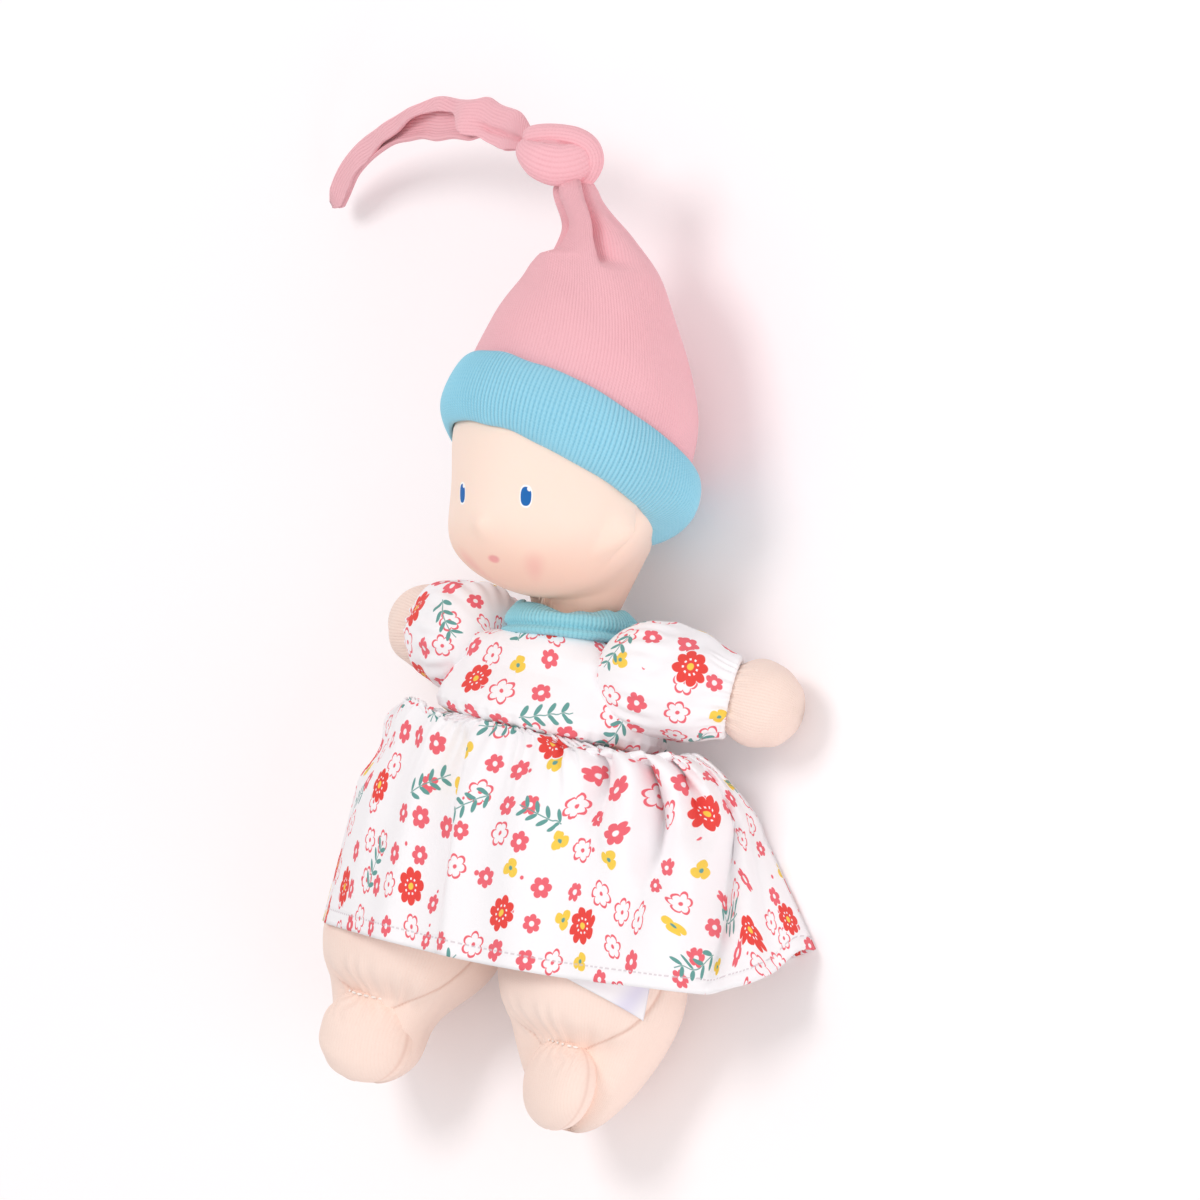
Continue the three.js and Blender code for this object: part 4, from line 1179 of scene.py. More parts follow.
    def cuff(self, wardrobe: Wardrobe) -> None:
        """The folded band over turn and section: a full oval, ribbed outside and curled in below."""
        u, v = grid(56, self.ribs * 6, wrap=True)
        turn, section = TURN * u, TURN * v + math.pi
        up = bulged(np.sin(section), 0.8)
        out = bulged(np.cos(section), 0.8)
        lower = np.clip(-up, 0.0, 1.0)
        outer = smooth(out, -0.3, 0.6)
        behind = smooth(-np.cos(turn), -0.35, 0.6)
        curl = -1.0 * np.clip(up, 0.0, 1.0) ** 2 - mix(1.9, 6.6, behind) * lower**2
        ribs = 0.16 * np.cos(self.ribs * turn) * outer
        uneven = 0.4 * around(turn, 7.0, up * 0.4, 11) * outer
        thick = self.cuff_wall / 2.0 * (1.15 + 0.25 * (1.0 - up * up))
        radius = self.cuff_radius + curl + thick * out + ribs + uneven
        along = self.cuff_height / 2.0 * up + 0.3 * around(turn, 9.0, 0.0, 12) * up + 1.6 * behind * lower
        y = self.cranium_rise + along + self.tilt(turn)
        points = self.leaned(radius * np.sin(turn), y, HEAD_FORWARD + radius * np.cos(turn), along)
        points = above(from_head(points), CLOTH_REST)
        down = np.repeat(v[:, :1] * self.cuff_length, u.shape[1] + 1, axis=1)
        cloth = np.stack([ring_of(u) * self.ribs * CUFF_WALE + CUFF_WALE / 2.0, down], axis=-1)
        piece = lay("hat_rib_cuff", points, cloth, wrap=True)
        dress(piece, wardrobe.rib, "hat", ["hat_cuff"])

    def band(self, wrap: Wrap, wardrobe: Wardrobe) -> None:
        """One turn of the knitted tube in the knot, drawn as it is seen from the camera."""
        count = 70
        stations = np.array(wrap.stations)
        path = path_through(stations[:, :3], count)
        v = np.linspace(0.0, 1.0, count)
        half = np.interp(v, np.linspace(0.0, 1.0, len(stations)), stations[:, 3])
        ends = np.sqrt(np.clip(np.minimum(v, 1.0 - v) / 0.06, 0.05, 1.0))
        u, rows = grid(count, 48, wrap=True)
        crinkle = 1.0 + 0.03 * around(TURN * u, 4.0, rows * 3.0, len(wrap.name))
        proud = path + np.array([0.0, 0.0, self.knot_back])
        points = oval_along(path, half * ends, wrap.thick * ends, proud, TURN * u, crinkle)
        middle = from_head(np.array(self.knot)[None])[0]
        cloth = np.stack([ring_of(u) * 5.4 * float(np.mean(half) + wrap.thick) / 2.0 * 1.1,
                          closed(rows) * 26.0], axis=-1)
        piece = lay(wrap.name, from_view(points, middle), cloth, wrap=True, caps=(True, True))
        dress(piece, wardrobe.jersey, "hat", ["hat_knot"])

    def tail(self, wardrobe: Wardrobe) -> None:
        """The tail over width and length: a strip folded at its upper edge, its front turned back."""
        knot = from_head(np.array(self.knot)[None])[0]
        count = 150
        route = path_through([np.array(p) + knot for p in self.tail_route], count)
        along = unit(np.gradient(route, axis=0))
        flat = unit(np.cross([0.0, 0.0, 1.0], along))
        proud = np.cross(along, flat)
        w, v = grid(count, 60)
        cover = 1.0 - 0.62 * smooth(v, 0.25, 0.36) + 0.36 * smooth(v, 0.48, 0.66)
        cover = cover + 0.2 * smooth(v, 0.66, 0.8)
        wide = self.tail_width * mix(0.5, 1.0, smooth(v, 0.08, 0.16)) * (1.0 - 0.33 * smooth(v, 0.42, 0.62))
        rounded = np.sqrt(np.clip((1.004 - v) / 0.03, 0.02, 1.0))
        wide = wide * rounded * (1.0 + 0.05 * wander(v * 7.0, w * 0.2, 21))
        uneven = 1.0 + 0.15 * wander(v * 6.0, w * 0.4, 22)
        thick = self.tail_rise * (1.0 - 0.5 * smooth(v, 0.5, 0.75)) * uneven
        thick = thick * mix(0.5, 1.0, smooth(v, 0.08, 0.18))
        bend = 0.5
        lower = np.clip(w / bend, 0.0, 1.0)
        upper = np.clip((w - bend) / (1.0 - bend), 0.0, 1.0)
        swing = smooth(w, bend - 0.12, bend + 0.12)
        x = np.where(w < bend, mix(1.0, -1.0, lower), mix(-1.0, mix(-1.0, 1.0, cover), upper))
        x = np.sign(x) * (1.0 - (1.0 - np.abs(x)) ** 1.25)
        lift = 0.45 * upper * hump(v - 0.29, 0.035) + 0.25 * hump(upper - 1.0, 0.25) * smooth(v, 0.33, 0.4)
        curl = 0.8 * hump(lower, 0.2) * (w < bend)
        y = mix(-0.9, 1.0, swing) + curl + lift
        kink = 1.2 * hump(v - 0.29, 0.03) - 0.9 * hump(v - 0.36, 0.03) + 0.7 * hump(v - 0.13, 0.03)
        crease = -1.3 * hump(upper - 0.6 - 0.8 * (v - 0.15), 0.07) * smooth(v, 0.04, 0.1)
        crease = crease * (1.0 - smooth(v, 0.22, 0.27))
        y = y * thick * 0.8 + kink * smooth(w, 0.4, 0.8) + crease
        x = x * wide - 1.1 * hump(v - 0.25, 0.03)
        points = carried(route, flat, proud, x, y)
        cloth = np.stack([span_across(points), v * 97.0], axis=-1)
        piece = lay("hat_rolled_tail", points, cloth)
        thicken(piece, 0.8)
        dress(piece, wardrobe.jersey, "tail", ["hat_tail"])
        area_of(points)

    def build(self, wardrobe: Wardrobe) -> None:
        """Makes the hat's pieces."""
        self.crown(wardrobe)
        self.cuff(wardrobe)
        for wrap in self.wraps:
            self.band(wrap, wardrobe)
        self.tail(wardrobe)


@dataclass
class Collar:
    """The blue rib neckband: a rolled lower edge and a standing rib with a wavy top."""

    inner: float = 10.1
    outer: float = 15.5
    low: float = -5.4
    high: float = 2.7
    section_length: float = 21.0
    ribs: int = 92

    def build(self, wardrobe: Wardrobe) -> None:
        """The band over turn and section: an oval with a groove over its rolled edge, ribbed outside."""
        u, v = grid(64, self.ribs * 6, wrap=True)
        turn, section = TURN * (u - 0.5), TURN * v + math.pi
        up = np.sin(section)
        out = np.cos(section)
        face = smooth(out, -0.2, 0.5)
        dip = 1.2 * hump(turn - 0.5, 0.2) + 1.6 * hump(turn - 0.6, 0.85)
        wave = (0.35 * around(turn, 9.0, 0.0, 31) - dip) * smooth(up, 0.1, 1.0)
        lean = -1.7 * smooth(up, -0.35, 1.0) * smooth(out, -0.6, 0.4)
        groove = -1.2 * hump(up + 0.3, 0.13) * face
        roll = 1.0 * hump(up + 0.75, 0.3) * face
        ribs = 0.15 * np.cos(self.ribs * turn) * face * smooth(up, -0.4, -0.1)
        twist = 0.12 * np.cos(self.ribs * turn + 5.0 * up) * face * (1.0 - smooth(up, -0.5, -0.25))
        middle, half = (self.inner + self.outer) / 2.0, (self.outer - self.inner) / 2.0
        radius = middle + half * bulged(out, 0.7) + lean + groove + roll + ribs + twist
        y = mix(self.low, self.high, 0.5 + 0.5 * bulged(up, 0.8)) + wave
        points = from_neck(ring(radius, y, turn))
        down = np.repeat(v[:, :1] * self.section_length, u.shape[1] + 1, axis=1)
        cloth = np.stack([ring_of(u) * self.ribs * COLLAR_WALE + COLLAR_WALE / 2.0, down], axis=-1)
        piece = lay("rib_collar", points, cloth, wrap=True)
        dress(piece, wardrobe.neck_rib, "torso", ["collar"])


@dataclass
class Bodice:
    """The dress's bodice: a fitted shell over the chest that puffs over the waist seam."""

    hem_width: float = 28.0
    hem_depth: float = 20.5
    chest_width: float = 22.8
    chest_depth: float = 16.3
    low: float = 84.6
    top: float = 109.4
    neck_radius: float = 12.8
    neck_rise: float = -4.8
    gathers: float = 46.0
    girth: float = 148.0
    print_top: float = 92.0

    def build(self, wardrobe: Wardrobe) -> None:
        """The shell over turn and height: an oval through stations that ends under the collar."""
        u, v = grid(110, 280, wrap=True)
        turn = TURN * u
        y = mix(self.low, self.top, v)
        heights = [self.low, self.low + 1.2, self.low + 3.0, self.low + 5.5, 97.6, 102.0, 106.0, self.top]
        widths = [self.hem_width - 3.6, self.hem_width - 1.0, self.hem_width, self.hem_width - 0.3,
                  self.chest_width + 1.6, self.chest_width, 18.6, self.neck_radius]
        depths = [self.hem_depth - 3.4, self.hem_depth - 1.0, self.hem_depth, self.hem_depth - 0.3,
                  self.chest_depth + 0.8, self.chest_depth + 0.4, 15.6, self.neck_radius]
        width = np.interp(y, heights, widths)
        depth = np.interp(y, heights, depths)
        phase = self.gathers * turn + 2.0 * around(turn, 5.0, v, 41)
        gathers = 0.4 * np.cos(phase) * (1.0 - smooth(y, 85.0, 89.5))
        pulls = 0.45 * around(turn, 9.0, v * 1.6, 42) * hump(np.abs(np.cos(turn)) - 1.0, 0.5)
        soft = 0.5 * around(turn, 5.0, v * 1.3, 43)
        swell = (gathers + pulls + soft) * (1.0 - smooth(y, 103.0, 107.5))
        shell = stack((width + swell) * np.cos(turn), y, BODY_AXIS_Z + (depth + swell) * np.sin(turn))
        rise = np.full_like(y, self.neck_rise)
        neckline = from_neck(stack(self.neck_radius * np.cos(turn), rise, self.neck_radius * np.sin(turn)))
        points = mix(shell, neckline, smooth(v, 0.72, 1.0)[..., None])
        down = span_down(closed(points))
        cloth = np.stack([ring_of(u) * self.girth, self.print_top - down], axis=-1)
        piece = lay("dress_bodice", points, cloth, wrap=True, marks={"hem": np.zeros_like(u)})
        thicken(piece, CLOTH)
        dress(piece, wardrobe.cotton, "torso", ["bodice"])
        area_of(closed(points))


@dataclass(frozen=True)
class Fold:
    """One fold of the skirt: a valley that runs from the waist to the hem, steep on its near side."""

    top: float
    hem: float
    width: float
    depth: float
    start: float
    end: float


@dataclass(frozen=True)
class Half:
    """One side of the skirt: its reach, how it opens and eases, its hem's lift and its roundness."""

    reach: float
    opening: float
    ease: float
    lift: float
    roundness: float


@dataclass
class Skirt:
    """The gathered skirt: a front in two halves that rides up with the legs, and a back that lies flat."""

    top: float = 84.7
    waist_width: float = 25.7
    waist_depth: float = 18.2
    left: Half = Half(reach=70.0, opening=0.3, ease=0.1, lift=20.0, roundness=0.8)
    right: Half = Half(reach=47.5, opening=0.9, ease=0.17, lift=3.0, roundness=0.45)
    puff: float = 0.06
    shelf: float = 5.0
    right_shelf: float = 4.0
    hem_height: float = 32.0
    front_curve: float = 22.0
    hem_sweep: float = 0.32
    back_curve: float = 1.8
    hem_rise: float = 43.5
    wall: float = 1.1
    split_top: float = 0.4
    split_hem: float = 0.497
    lap: float = 0.02
    tuck_depth: float = 1.6
    tuck_valley: float = 2.6
    half_gap: float = 0.15
    gathers: float = 34.0
    drop_steps: int = 17
    pull: tuple[float, float, float] = (1.0, -0.733, 1.15)
    ramp: float = 22.0
    apex: float = 48.0
    fan: float = 2.3
    front_start: float = 330.0
    back_start: float = 640.0
    folds: list[Fold] = field(default_factory=lambda: [
        Fold(0.955, 0.825, 0.016, 8.5, 0.1, 1.12), Fold(0.79, 0.775, 0.014, 7.0, 0.08, 0.85),
        Fold(0.862, 0.855, 0.013, 7.5, 0.08, 0.8), Fold(0.71, 0.69, 0.014, 4.8, 0.08, 0.65),
        Fold(0.985, 0.93, 0.014, 3.6, 0.2, 1.4), Fold(0.3, 0.33, 0.024, 1.6, 0.1, 0.9),
        Fold(0.18, 0.22, 0.024, 2.0, 0.1, 0.8), Fold(0.63, 0.61, 0.013, 1.3, 0.08, 0.45),
    ])

    def split(self, row: Array) -> Array:
        """The share where the front's two halves meet, in a soft fold on the doll's right."""
        return mix(self.split_top, self.split_hem, row)

    def surface(self, share: Array, row: Array, front: bool) -> Array:
        """The skirt over share across and row down: a gathered waist that puffs out and falls to the hem.

        Args:
            share: From the right side seam to the left one.
            row: From the waist to the hem.
            front: Whether this is the front, over the legs, or the back, on the floor.

        Returns:
            The points.
        """
        angle = math.pi * share
        v = row**2.2
        left = share > 0.5
        sides = np.where(left[..., None], astuple(self.left), astuple(self.right))
        reach, opening, ease, lift, roundness = np.moveaxis(sides, -1, 0)
        eased = np.clip(v / ease, 0.0, 1.0)
        opened = mix(opening, 1.0, v) * np.sqrt(eased * (2.0 - eased))
        half_width = mix(self.waist_width, reach, opened)
        seam = mix(BODY_AXIS_Z, self.wall, smooth(v, 0.0, 0.3))
        x = -half_width * np.cos(angle)
        aside = np.abs(np.cos(angle))
        sweep = mix(aside**self.front_curve, aside**2, self.hem_sweep) if front else aside**self.back_curve
        hem = self.hem_height + lift * sweep
        stand = smooth(v, 0.02, self.puff) * (1.0 - smooth(v, self.puff, 0.35))
        right_shelf = self.right_shelf * hump(share - 0.24, 0.13)
        shelf = np.where(left, self.shelf * np.cos(angle) ** 2, right_shelf) * stand
        y = mix(self.top, hem, v) + shelf
        gathers = np.cos(TURN * self.gathers * share + 2.5 * wander(share * 8.0, np.zeros_like(share), 51))
        drawn = gathers * hump(row - 0.2, 0.26) * smooth(row, 0.0, 0.12)
        if not front:
            drop = mix(self.waist_depth, seam, smooth(v, 0.0, 0.3))
            z = seam - self.half_gap - drop * np.sin(angle) + 0.5 * drawn * smooth(seam, 6.0, 14.0)
            return stack(x, y, np.maximum(z, CLOTH_REST))
        top = mix(BODY_AXIS_Z + self.waist_depth, self.hem_rise, smooth(v, 0.0, 0.4))
        crown = np.maximum(np.sin(angle), 0.0) ** mix(1.0, roundness, smooth(v, 0.0, 0.4))
        roll = 1.3 * wander(share * 7.0, row * 0.9, 52) * smooth(row, 0.15, 0.6)
        height, shift = self.ripple(share, row)
        bulk = 1.3 + roll + height / np.maximum(crown, 0.4)
        body = top - seam + bulk * smooth(v, 0.0, 0.12) + drawn * mix(0.45, 1.7, smooth(share, 0.5, 0.75))
        return stack(x + shift * smooth(v, 0.0, 0.12), y, seam + self.half_gap + body * crown)

    def ripple(self, share: Array, row: Array) -> tuple[Array, Array]:
        """The folds' height and lean: each a steep valley, a ridge that leans over it and a long slope."""
        height, lean = np.zeros_like(share), np.zeros_like(share)
        for fold in self.folds:
            way = (share - mix(fold.top, fold.hem, row**1.6)) / (fold.width * (1.0 + 0.8 * row))
            faded = 1.0 - smooth(row, fold.end - 0.3, fold.end)
            strength = smooth(row, fold.start, fold.start + 0.2) * faded
            valley = np.where(way < 0.0, hump(way, 0.8), hump(way, 2.4))
            height = height + fold.depth * strength * (0.55 * hump(way + 2.0, 1.3) - valley)
            lean = lean + 0.55 * fold.depth * strength * hump(way + 1.3, 1.0)
        tuck = share - self.split(row)
        ease = smooth(row, 0.1, 0.35)
        near = np.where(tuck < 0.0, hump(tuck, 0.05), hump(tuck, 0.012))
        return height - self.tuck_valley * ease * near, lean

    def drop(self, share: Array, row: Array, front: bool) -> Array:
        """The length of cloth from the waist down to a row, at the same share all the way."""
        steps = np.linspace(0.0, 1.0, self.drop_steps)[:, None, None] * row
        stages = [self.surface(share, step, front) for step in steps]
        return sum(np.linalg.norm(low - high, axis=-1) for high, low in zip(stages, stages[1:]))

    def panel(self, name: str, share: Array, row: Array, front: bool, material: bpy.types.Material,
              start: float, dive: Array | float = 0.0) -> tuple[Mesh, Array]:
        """One laid panel, let down by a dive, with a cone unrolled as its map so no motif is squeezed."""
        points = self.surface(share, row, front)
        points[..., 2] = points[..., 2] - dive
        drop = self.drop(share, row, front)
        hem = self.drop(share, np.ones_like(row), front) - drop
        reach = self.apex + drop
        swing = self.fan * (share - 0.5)
        cloth = np.stack([reach * np.sin(swing) + start, -reach * np.cos(swing)], axis=-1)
        piece = lay(name, points, cloth, marks={"hem": hem})
        thicken(piece, CLOTH)
        piece.data.materials.append(material)
        return piece, points

    def build(self, wardrobe: Wardrobe) -> None:
        """Lays the two halves of the front, which meet in a fold, and the back."""
        u, v = grid(110, 171)
        split = self.split(v)
        halves = {Side.RIGHT: u * (split + self.lap), Side.LEFT: mix(split - self.lap, 1.0, u)}
        for side, share in halves.items():
            dive = self.tuck_depth * smooth(side.value * (split - share), 0.002, 0.02)
            name = f"skirt_front_{side.word}"
            piece, points = self.panel(name, share, v, True, wardrobe.cotton, self.front_start, dive)
            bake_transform(piece)
            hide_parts("skirt_front")
            min(0.0065, area_of(points))
            LOG.info("%s bends with the leg", piece.name)
        u, v = grid(80, 161)
        piece, points = self.panel("skirt_back_panel", u, v, False, wardrobe.cotton, self.back_start)
        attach(piece, "torso")
        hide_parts("skirt_back")
        area_of(points)
        LOG.info("%s lies on the floor", piece.name)


@dataclass
class Arm:
    """A stuffed arm with a ball hand, in a short puffed sleeve."""

    side: Side
    hand_radius: float = 9.8
    hand_reach: float = 25.0
    wrist_radius: float = 6.4
    root_radius: float = 8.6
    sleeve_radius: float = 12.6
    sleeve_reach: float = 19.0
    sleeve_end: float = 9.0
    sleeve_cap: float = 0.3
    turned_in: float = 3.4
    wrist_gathers: float = 21.0
    puff_gathers: float = 23.0
    seat_gathers: float = 20.0
    arm_girth: float = 58.0
    sleeve_girth: float = 76.0
    print_start: float = 900.0
    print_step: float = 60.0

    def limb(self, wardrobe: Wardrobe) -> None:
        """The arm over turn and length: a root ball, a drawn-in wrist with gathers, and a ball hand."""
        u, v = grid(120, 110, wrap=True)
        turn = TURN * (u - 0.5)
        low, high = -self.root_radius + 0.3, self.hand_reach + self.hand_radius - 0.05
        y = mix(low, high, 0.5 - 0.5 * np.cos(math.pi * mix(0.03, 0.97, v)))
        hand = half_chord(self.hand_radius, y - self.hand_reach)
        root = half_chord(self.root_radius, np.minimum(y, 0.0))
        upper = mix(root, self.wrist_radius, smooth(y, 0.0, self.hand_reach * 0.66))
        radius = np.where(y < self.hand_reach * 0.7, np.maximum(upper, hand), hand)
        near = hump(y - self.hand_reach * 0.78, 2.4)
        gathers = 0.2 * near * np.cos(self.wrist_gathers * turn + around(turn, 4.0, v, 61))
        radius = radius + gathers + 0.2 * around(turn, 4.0, v * 5.0, 62)
        points = above(from_arm(ring(radius, y, turn), self.side), ARM_REST)
        cloth = np.stack([ring_of(u) * self.arm_girth, span_down(closed(points))], axis=-1)
        word = self.side.word
        piece = lay(f"{word}_arm_bag", points, cloth, wrap=True, caps=(True, True))
        dress(piece, wardrobe.hand, f"{word}_arm", [f"{word}_arm", f"{word}_arm_filling"])

    def sleeve(self, wardrobe: Wardrobe) -> None:
        """The sleeve over turn and length: a ball in the armhole, a puff, and a gathered end turned in."""
        u, v = grid(120, 240, wrap=True)
        turn = TURN * (u - 0.5)
        foot = 0.4 - self.sleeve_radius
        rounded = foot * np.cos(math.pi / 2.0 * v / self.sleeve_cap)
        beyond = (v - self.sleeve_cap) / (1.0 - self.sleeve_cap)
        straight = mix(0.0, self.sleeve_reach + self.turned_in, beyond)
        run = np.where(v < self.sleeve_cap, rounded, straight)
        y = np.where(run > self.sleeve_reach, 2.0 * self.sleeve_reach - run, run)
        inner = smooth(run, self.sleeve_reach - 0.8, self.sleeve_reach + 1.2)
        ball = half_chord(self.sleeve_radius, np.minimum(y, 0.0))
        draw = smooth(run, self.sleeve_reach * 0.42, self.sleeve_reach + 0.4)
        phase = self.puff_gathers * turn + 2.2 * around(turn, 6.0, 0.0, 71 + self.side.value)
        pucker = 0.5 * np.cos(phase) * smooth(run, self.sleeve_reach * 0.55, self.sleeve_reach)
        seat = 0.3 * np.cos(self.seat_gathers * turn) * hump(run + 2.0, 5.0) * smooth(ball, 3.0, 9.0)
        soft = 0.6 * around(turn, 6.0, v * 2.2, 74 + self.side.value)
        soft = soft * smooth(run, -4.0, 3.0) * (1.0 - draw)
        radius = mix(ball, self.sleeve_end, draw) + pucker + seat + soft - 2.2 * inner
        points = above(from_arm(ring(radius, y, turn), self.side), ARM_REST)
        across = ring_of(u) * self.sleeve_girth + self.print_start + self.print_step * self.side.value
        cloth = np.stack([across, span_down(closed(points))], axis=-1)
        word = self.side.word
        marks = {"hem": np.zeros_like(u)}
        piece = lay(f"{word}_puff_sleeve", points, cloth, wrap=True, caps=(True, False), marks=marks)
        thicken(piece, CLOTH)
        dress(piece, wardrobe.cotton, f"{word}_arm", [f"{word}_sleeve"])
        area_of(closed(points))

    def build(self, wardrobe: Wardrobe) -> None:
        """Makes the arm and its sleeve."""
        self.limb(wardrobe)
        self.sleeve(wardrobe)


@dataclass
class Leg:
    """A stuffed leg that tapers to the heel, with a toe cap gathered by a running stitch at the ankle."""

    side: Side
    radius: float = 19.0
    half_width: float = 22.0
    spacing: float = 22.5
    splay: float = 6.0
    taper: float = 0.47
    heel_rise: float = 8.0
    lift: float = 1.1
    ankle: float = 18.9
    ankle_draw: float = 5.6
    ankle_spread: float = 3.6
    ankle_gathers: float = 24.0
    under_draw: float = 3.4
    belly: float = 1.2
    thigh: float = 3.4
    seam_dip: float = 0.45
    girth: float = 118.0
    toe_gathers: float = 17.0
    toe_middle: tuple[float, float, float] = (27.6, 10.0, 25.4)
    toe_size: tuple[float, float, float] = (10.4, 10.2, 6.8)
    toe_turn: float = 0.24
    stitches: int = 7
    slim: dict[Side, float] = field(default_factory=lambda: {Side.LEFT: 0.0, Side.RIGHT: 6.0})

    def section(self, y: Array) -> tuple[Array, Array, Array, Array]:
        """The leg's middle and half sizes at a height: a hip ball above, and a taper to a round heel."""
        t = np.clip((HIP_HEIGHT - y) / HIP_HEIGHT, 0.0, 1.0)
        share = np.clip((y - HIP_HEIGHT) / self.radius, 0.0, 1.0)
        swell = np.sqrt(np.maximum(0.0, 1.0 - share**2)) * np.sqrt(np.maximum(0.0, 1.0 - t**6))
        drawn = 1.0 - self.taper * t * t
        return (self.spacing + self.splay * t, self.radius * drawn + self.lift + self.heel_rise * t**3,
                self.half_width * drawn * swell, self.radius * drawn * swell)

    def seam_angle(self, y: Array) -> Array:
        """The side seam's angle: at the side of the thigh, and round to the front at the ankle."""
        return np.radians(4.0 + 60.0 * np.exp(-np.maximum(0.0, y - 17.5) / 8.0))

    def bag(self, wardrobe: Wardrobe) -> None:
        """The leg over turn and height, drawn in across the front of the ankle with gathers above it."""
        u, v = grid(190, 240, wrap=True)
        a = TURN * u
        y = mix(HIP_HEIGHT + self.radius - 0.15, 0.15, 0.5 - 0.5 * np.cos(math.pi * mix(0.02, 0.98, v)))
        x0, z0, wide, deep = self.section(y)
        facing = smooth(np.sin(a), 0.15, 0.9)
        ankle = -self.ankle_draw * hump(y - self.ankle, self.ankle_spread) * facing
        inward = smooth(-0.8 * np.cos(a) - 0.6 * np.sin(a), 0.1, 0.9)
        slim = -self.slim[self.side] * hump(y - self.ankle + 2.4, 9.0) * inward
        under = -self.under_draw * (1.0 - smooth(y, self.ankle - 5.0, self.ankle)) * facing
        wrinkle = np.cos(self.ankle_gathers * a + 1.5 * around(a, 6.0, v, 81)) * facing
        gathers = 0.5 * wrinkle * hump(y - self.ankle - 3.0, self.ankle_spread)
        belly = self.belly * hump(y - self.ankle - 11.0, 8.0) * facing
        thigh = self.thigh * smooth(y, 13.0, 34.0) * hump(wrapped(a + 0.4), 0.9)
        line = self.seam_angle(y)
        first = wrapped(a - line)
        second = wrapped(a - math.pi + line)
        seam_off = np.minimum(np.abs(first), np.abs(second)) * (wide + deep) / 2.0
        seam = hump(seam_off, 0.4) * smooth(y, self.ankle - 3.0, self.ankle - 1.0)
        soft = 0.3 * around(a, 4.0, v * 3.0, 82 + self.side.value) * smooth(wide, 2.0, 8.0)
        out = ankle + slim + under + gathers + belly + soft - self.seam_dip * hump(seam_off, 0.7)
        x = x0 + np.maximum(0.1, wide + out + thigh) * np.cos(a)
        z = z0 + np.maximum(0.1, deep + out) * np.sin(a)
        points = stack(self.side.value * x, y, np.maximum(z, self.lift))
        cloth = np.stack([ring_of(u) * self.girth, span_down(closed(points))], axis=-1)
        word = self.side.word
        piece = lay(f"{word}_leg_bag", points, cloth, wrap=True, caps=(True, True), marks={"seam": seam})
        dress(piece, wardrobe.limb, f"{word}_leg", [f"{word}_leg", f"{word}_leg_filling"])

    def toe_surface(self, polar: Array, turn: Array) -> Array:
        """The toe cap over polar angle from its sole and turn: an ellipsoid puckered towards the ankle."""
        width, length, reach = self.toe_size
        near = smooth(polar, 1.6, 2.7)
        pucker = 1.0 + 0.07 * near * np.cos(self.toe_gathers * turn + 1.6 * around(turn, 5.0, polar, 91))
        soft = 1.0 + 0.012 * around(turn, 3.0, polar, 92 + self.side.value)
        x = width * np.sin(polar) ** 0.9 * np.cos(turn) * soft
        z = reach * np.sin(polar) ** 0.9 * np.sin(turn) * pucker * soft + self.toe_turn * x
        y = -length * np.cos(polar) * soft
        spot = stack(x, y, z) + np.array(self.toe_middle)
        return spot * np.array([self.side.value, 1.0, 1.0])

    def toe(self, wardrobe: Wardrobe) -> None:
        """The toe cap, and the white running stitch that gathers it at the ankle."""
        u, v = grid(100, 160, wrap=True)
        points = self.toe_surface(mix(0.03, math.pi - 0.03, v), TURN * u)
        cloth = closed(points)[..., :2] * np.array([1.0, 1.15])
        rim = hump(np.sin(TURN * u) - 0.16, 0.07) * smooth(np.sin(math.pi * v), 0.1, 0.4)
        word = self.side.word
        marks = {"seam": 0.5 * rim}
        piece = lay(f"{word}_toe_cap", points, cloth, wrap=True, caps=(True, True), marks=marks)
        dress(piece, wardrobe.limb, f"{word}_leg", [f"{word}_foot"])
        angle = np.radians(np.linspace(38.0, 142.0, self.stitches))
        height = np.full(self.stitches, 2.6)
        spots = self.toe_surface(height, angle)
        along = unit(self.toe_surface(height, angle + 0.02) - spots)
        out = np.tile([0.0, 0.55, 0.83], (self.stitches, 1))
        out = unit(out - along * np.einsum("ij,ij->i", out, along)[:, None])
        stitch = threads(f"{word}_ankle_stitches", spots + 0.35 * out, along, out, 1.25, 0.3)
        dress(stitch, wardrobe.thread, f"{word}_leg")

    def build(self, wardrobe: Wardrobe) -> None:
        """Makes the leg and its toe cap."""
        self.bag(wardrobe)
        self.toe(wardrobe)


@dataclass
class CareLabel:
    """The blank satin label in the left leg's side seam, lying on the thigh below the hem."""

    leg: Leg
    low: float = 28.0
    length: float = 12.0
    start: float = 18.0
    sweep: float = 52.0
    slope: float = 5.5
    stand: float = 2.0

    def build(self, wardrobe: Wardrobe) -> None:
        """The label over sweep and length: a strip of satin that follows the thigh."""
        u, v = grid(24, 40)
        angle = np.radians(self.start + self.sweep * u)
        y = self.low + self.length * v + self.slope * u
        x0, z0, wide, deep = self.leg.section(y)
        stand = self.stand + 0.4 * np.sin(math.pi * u)
        points = stack(x0 + (wide + stand) * np.cos(angle), y, z0 + (deep + stand) * np.sin(angle))
        piece = lay("blank_label", points, np.stack([u * 20.0, v * 13.0], axis=-1))
        thicken(piece, 0.3)
        dress(piece, wardrobe.satin, "left_leg", ["care_label"])
        min(0.000285, area_of(points))


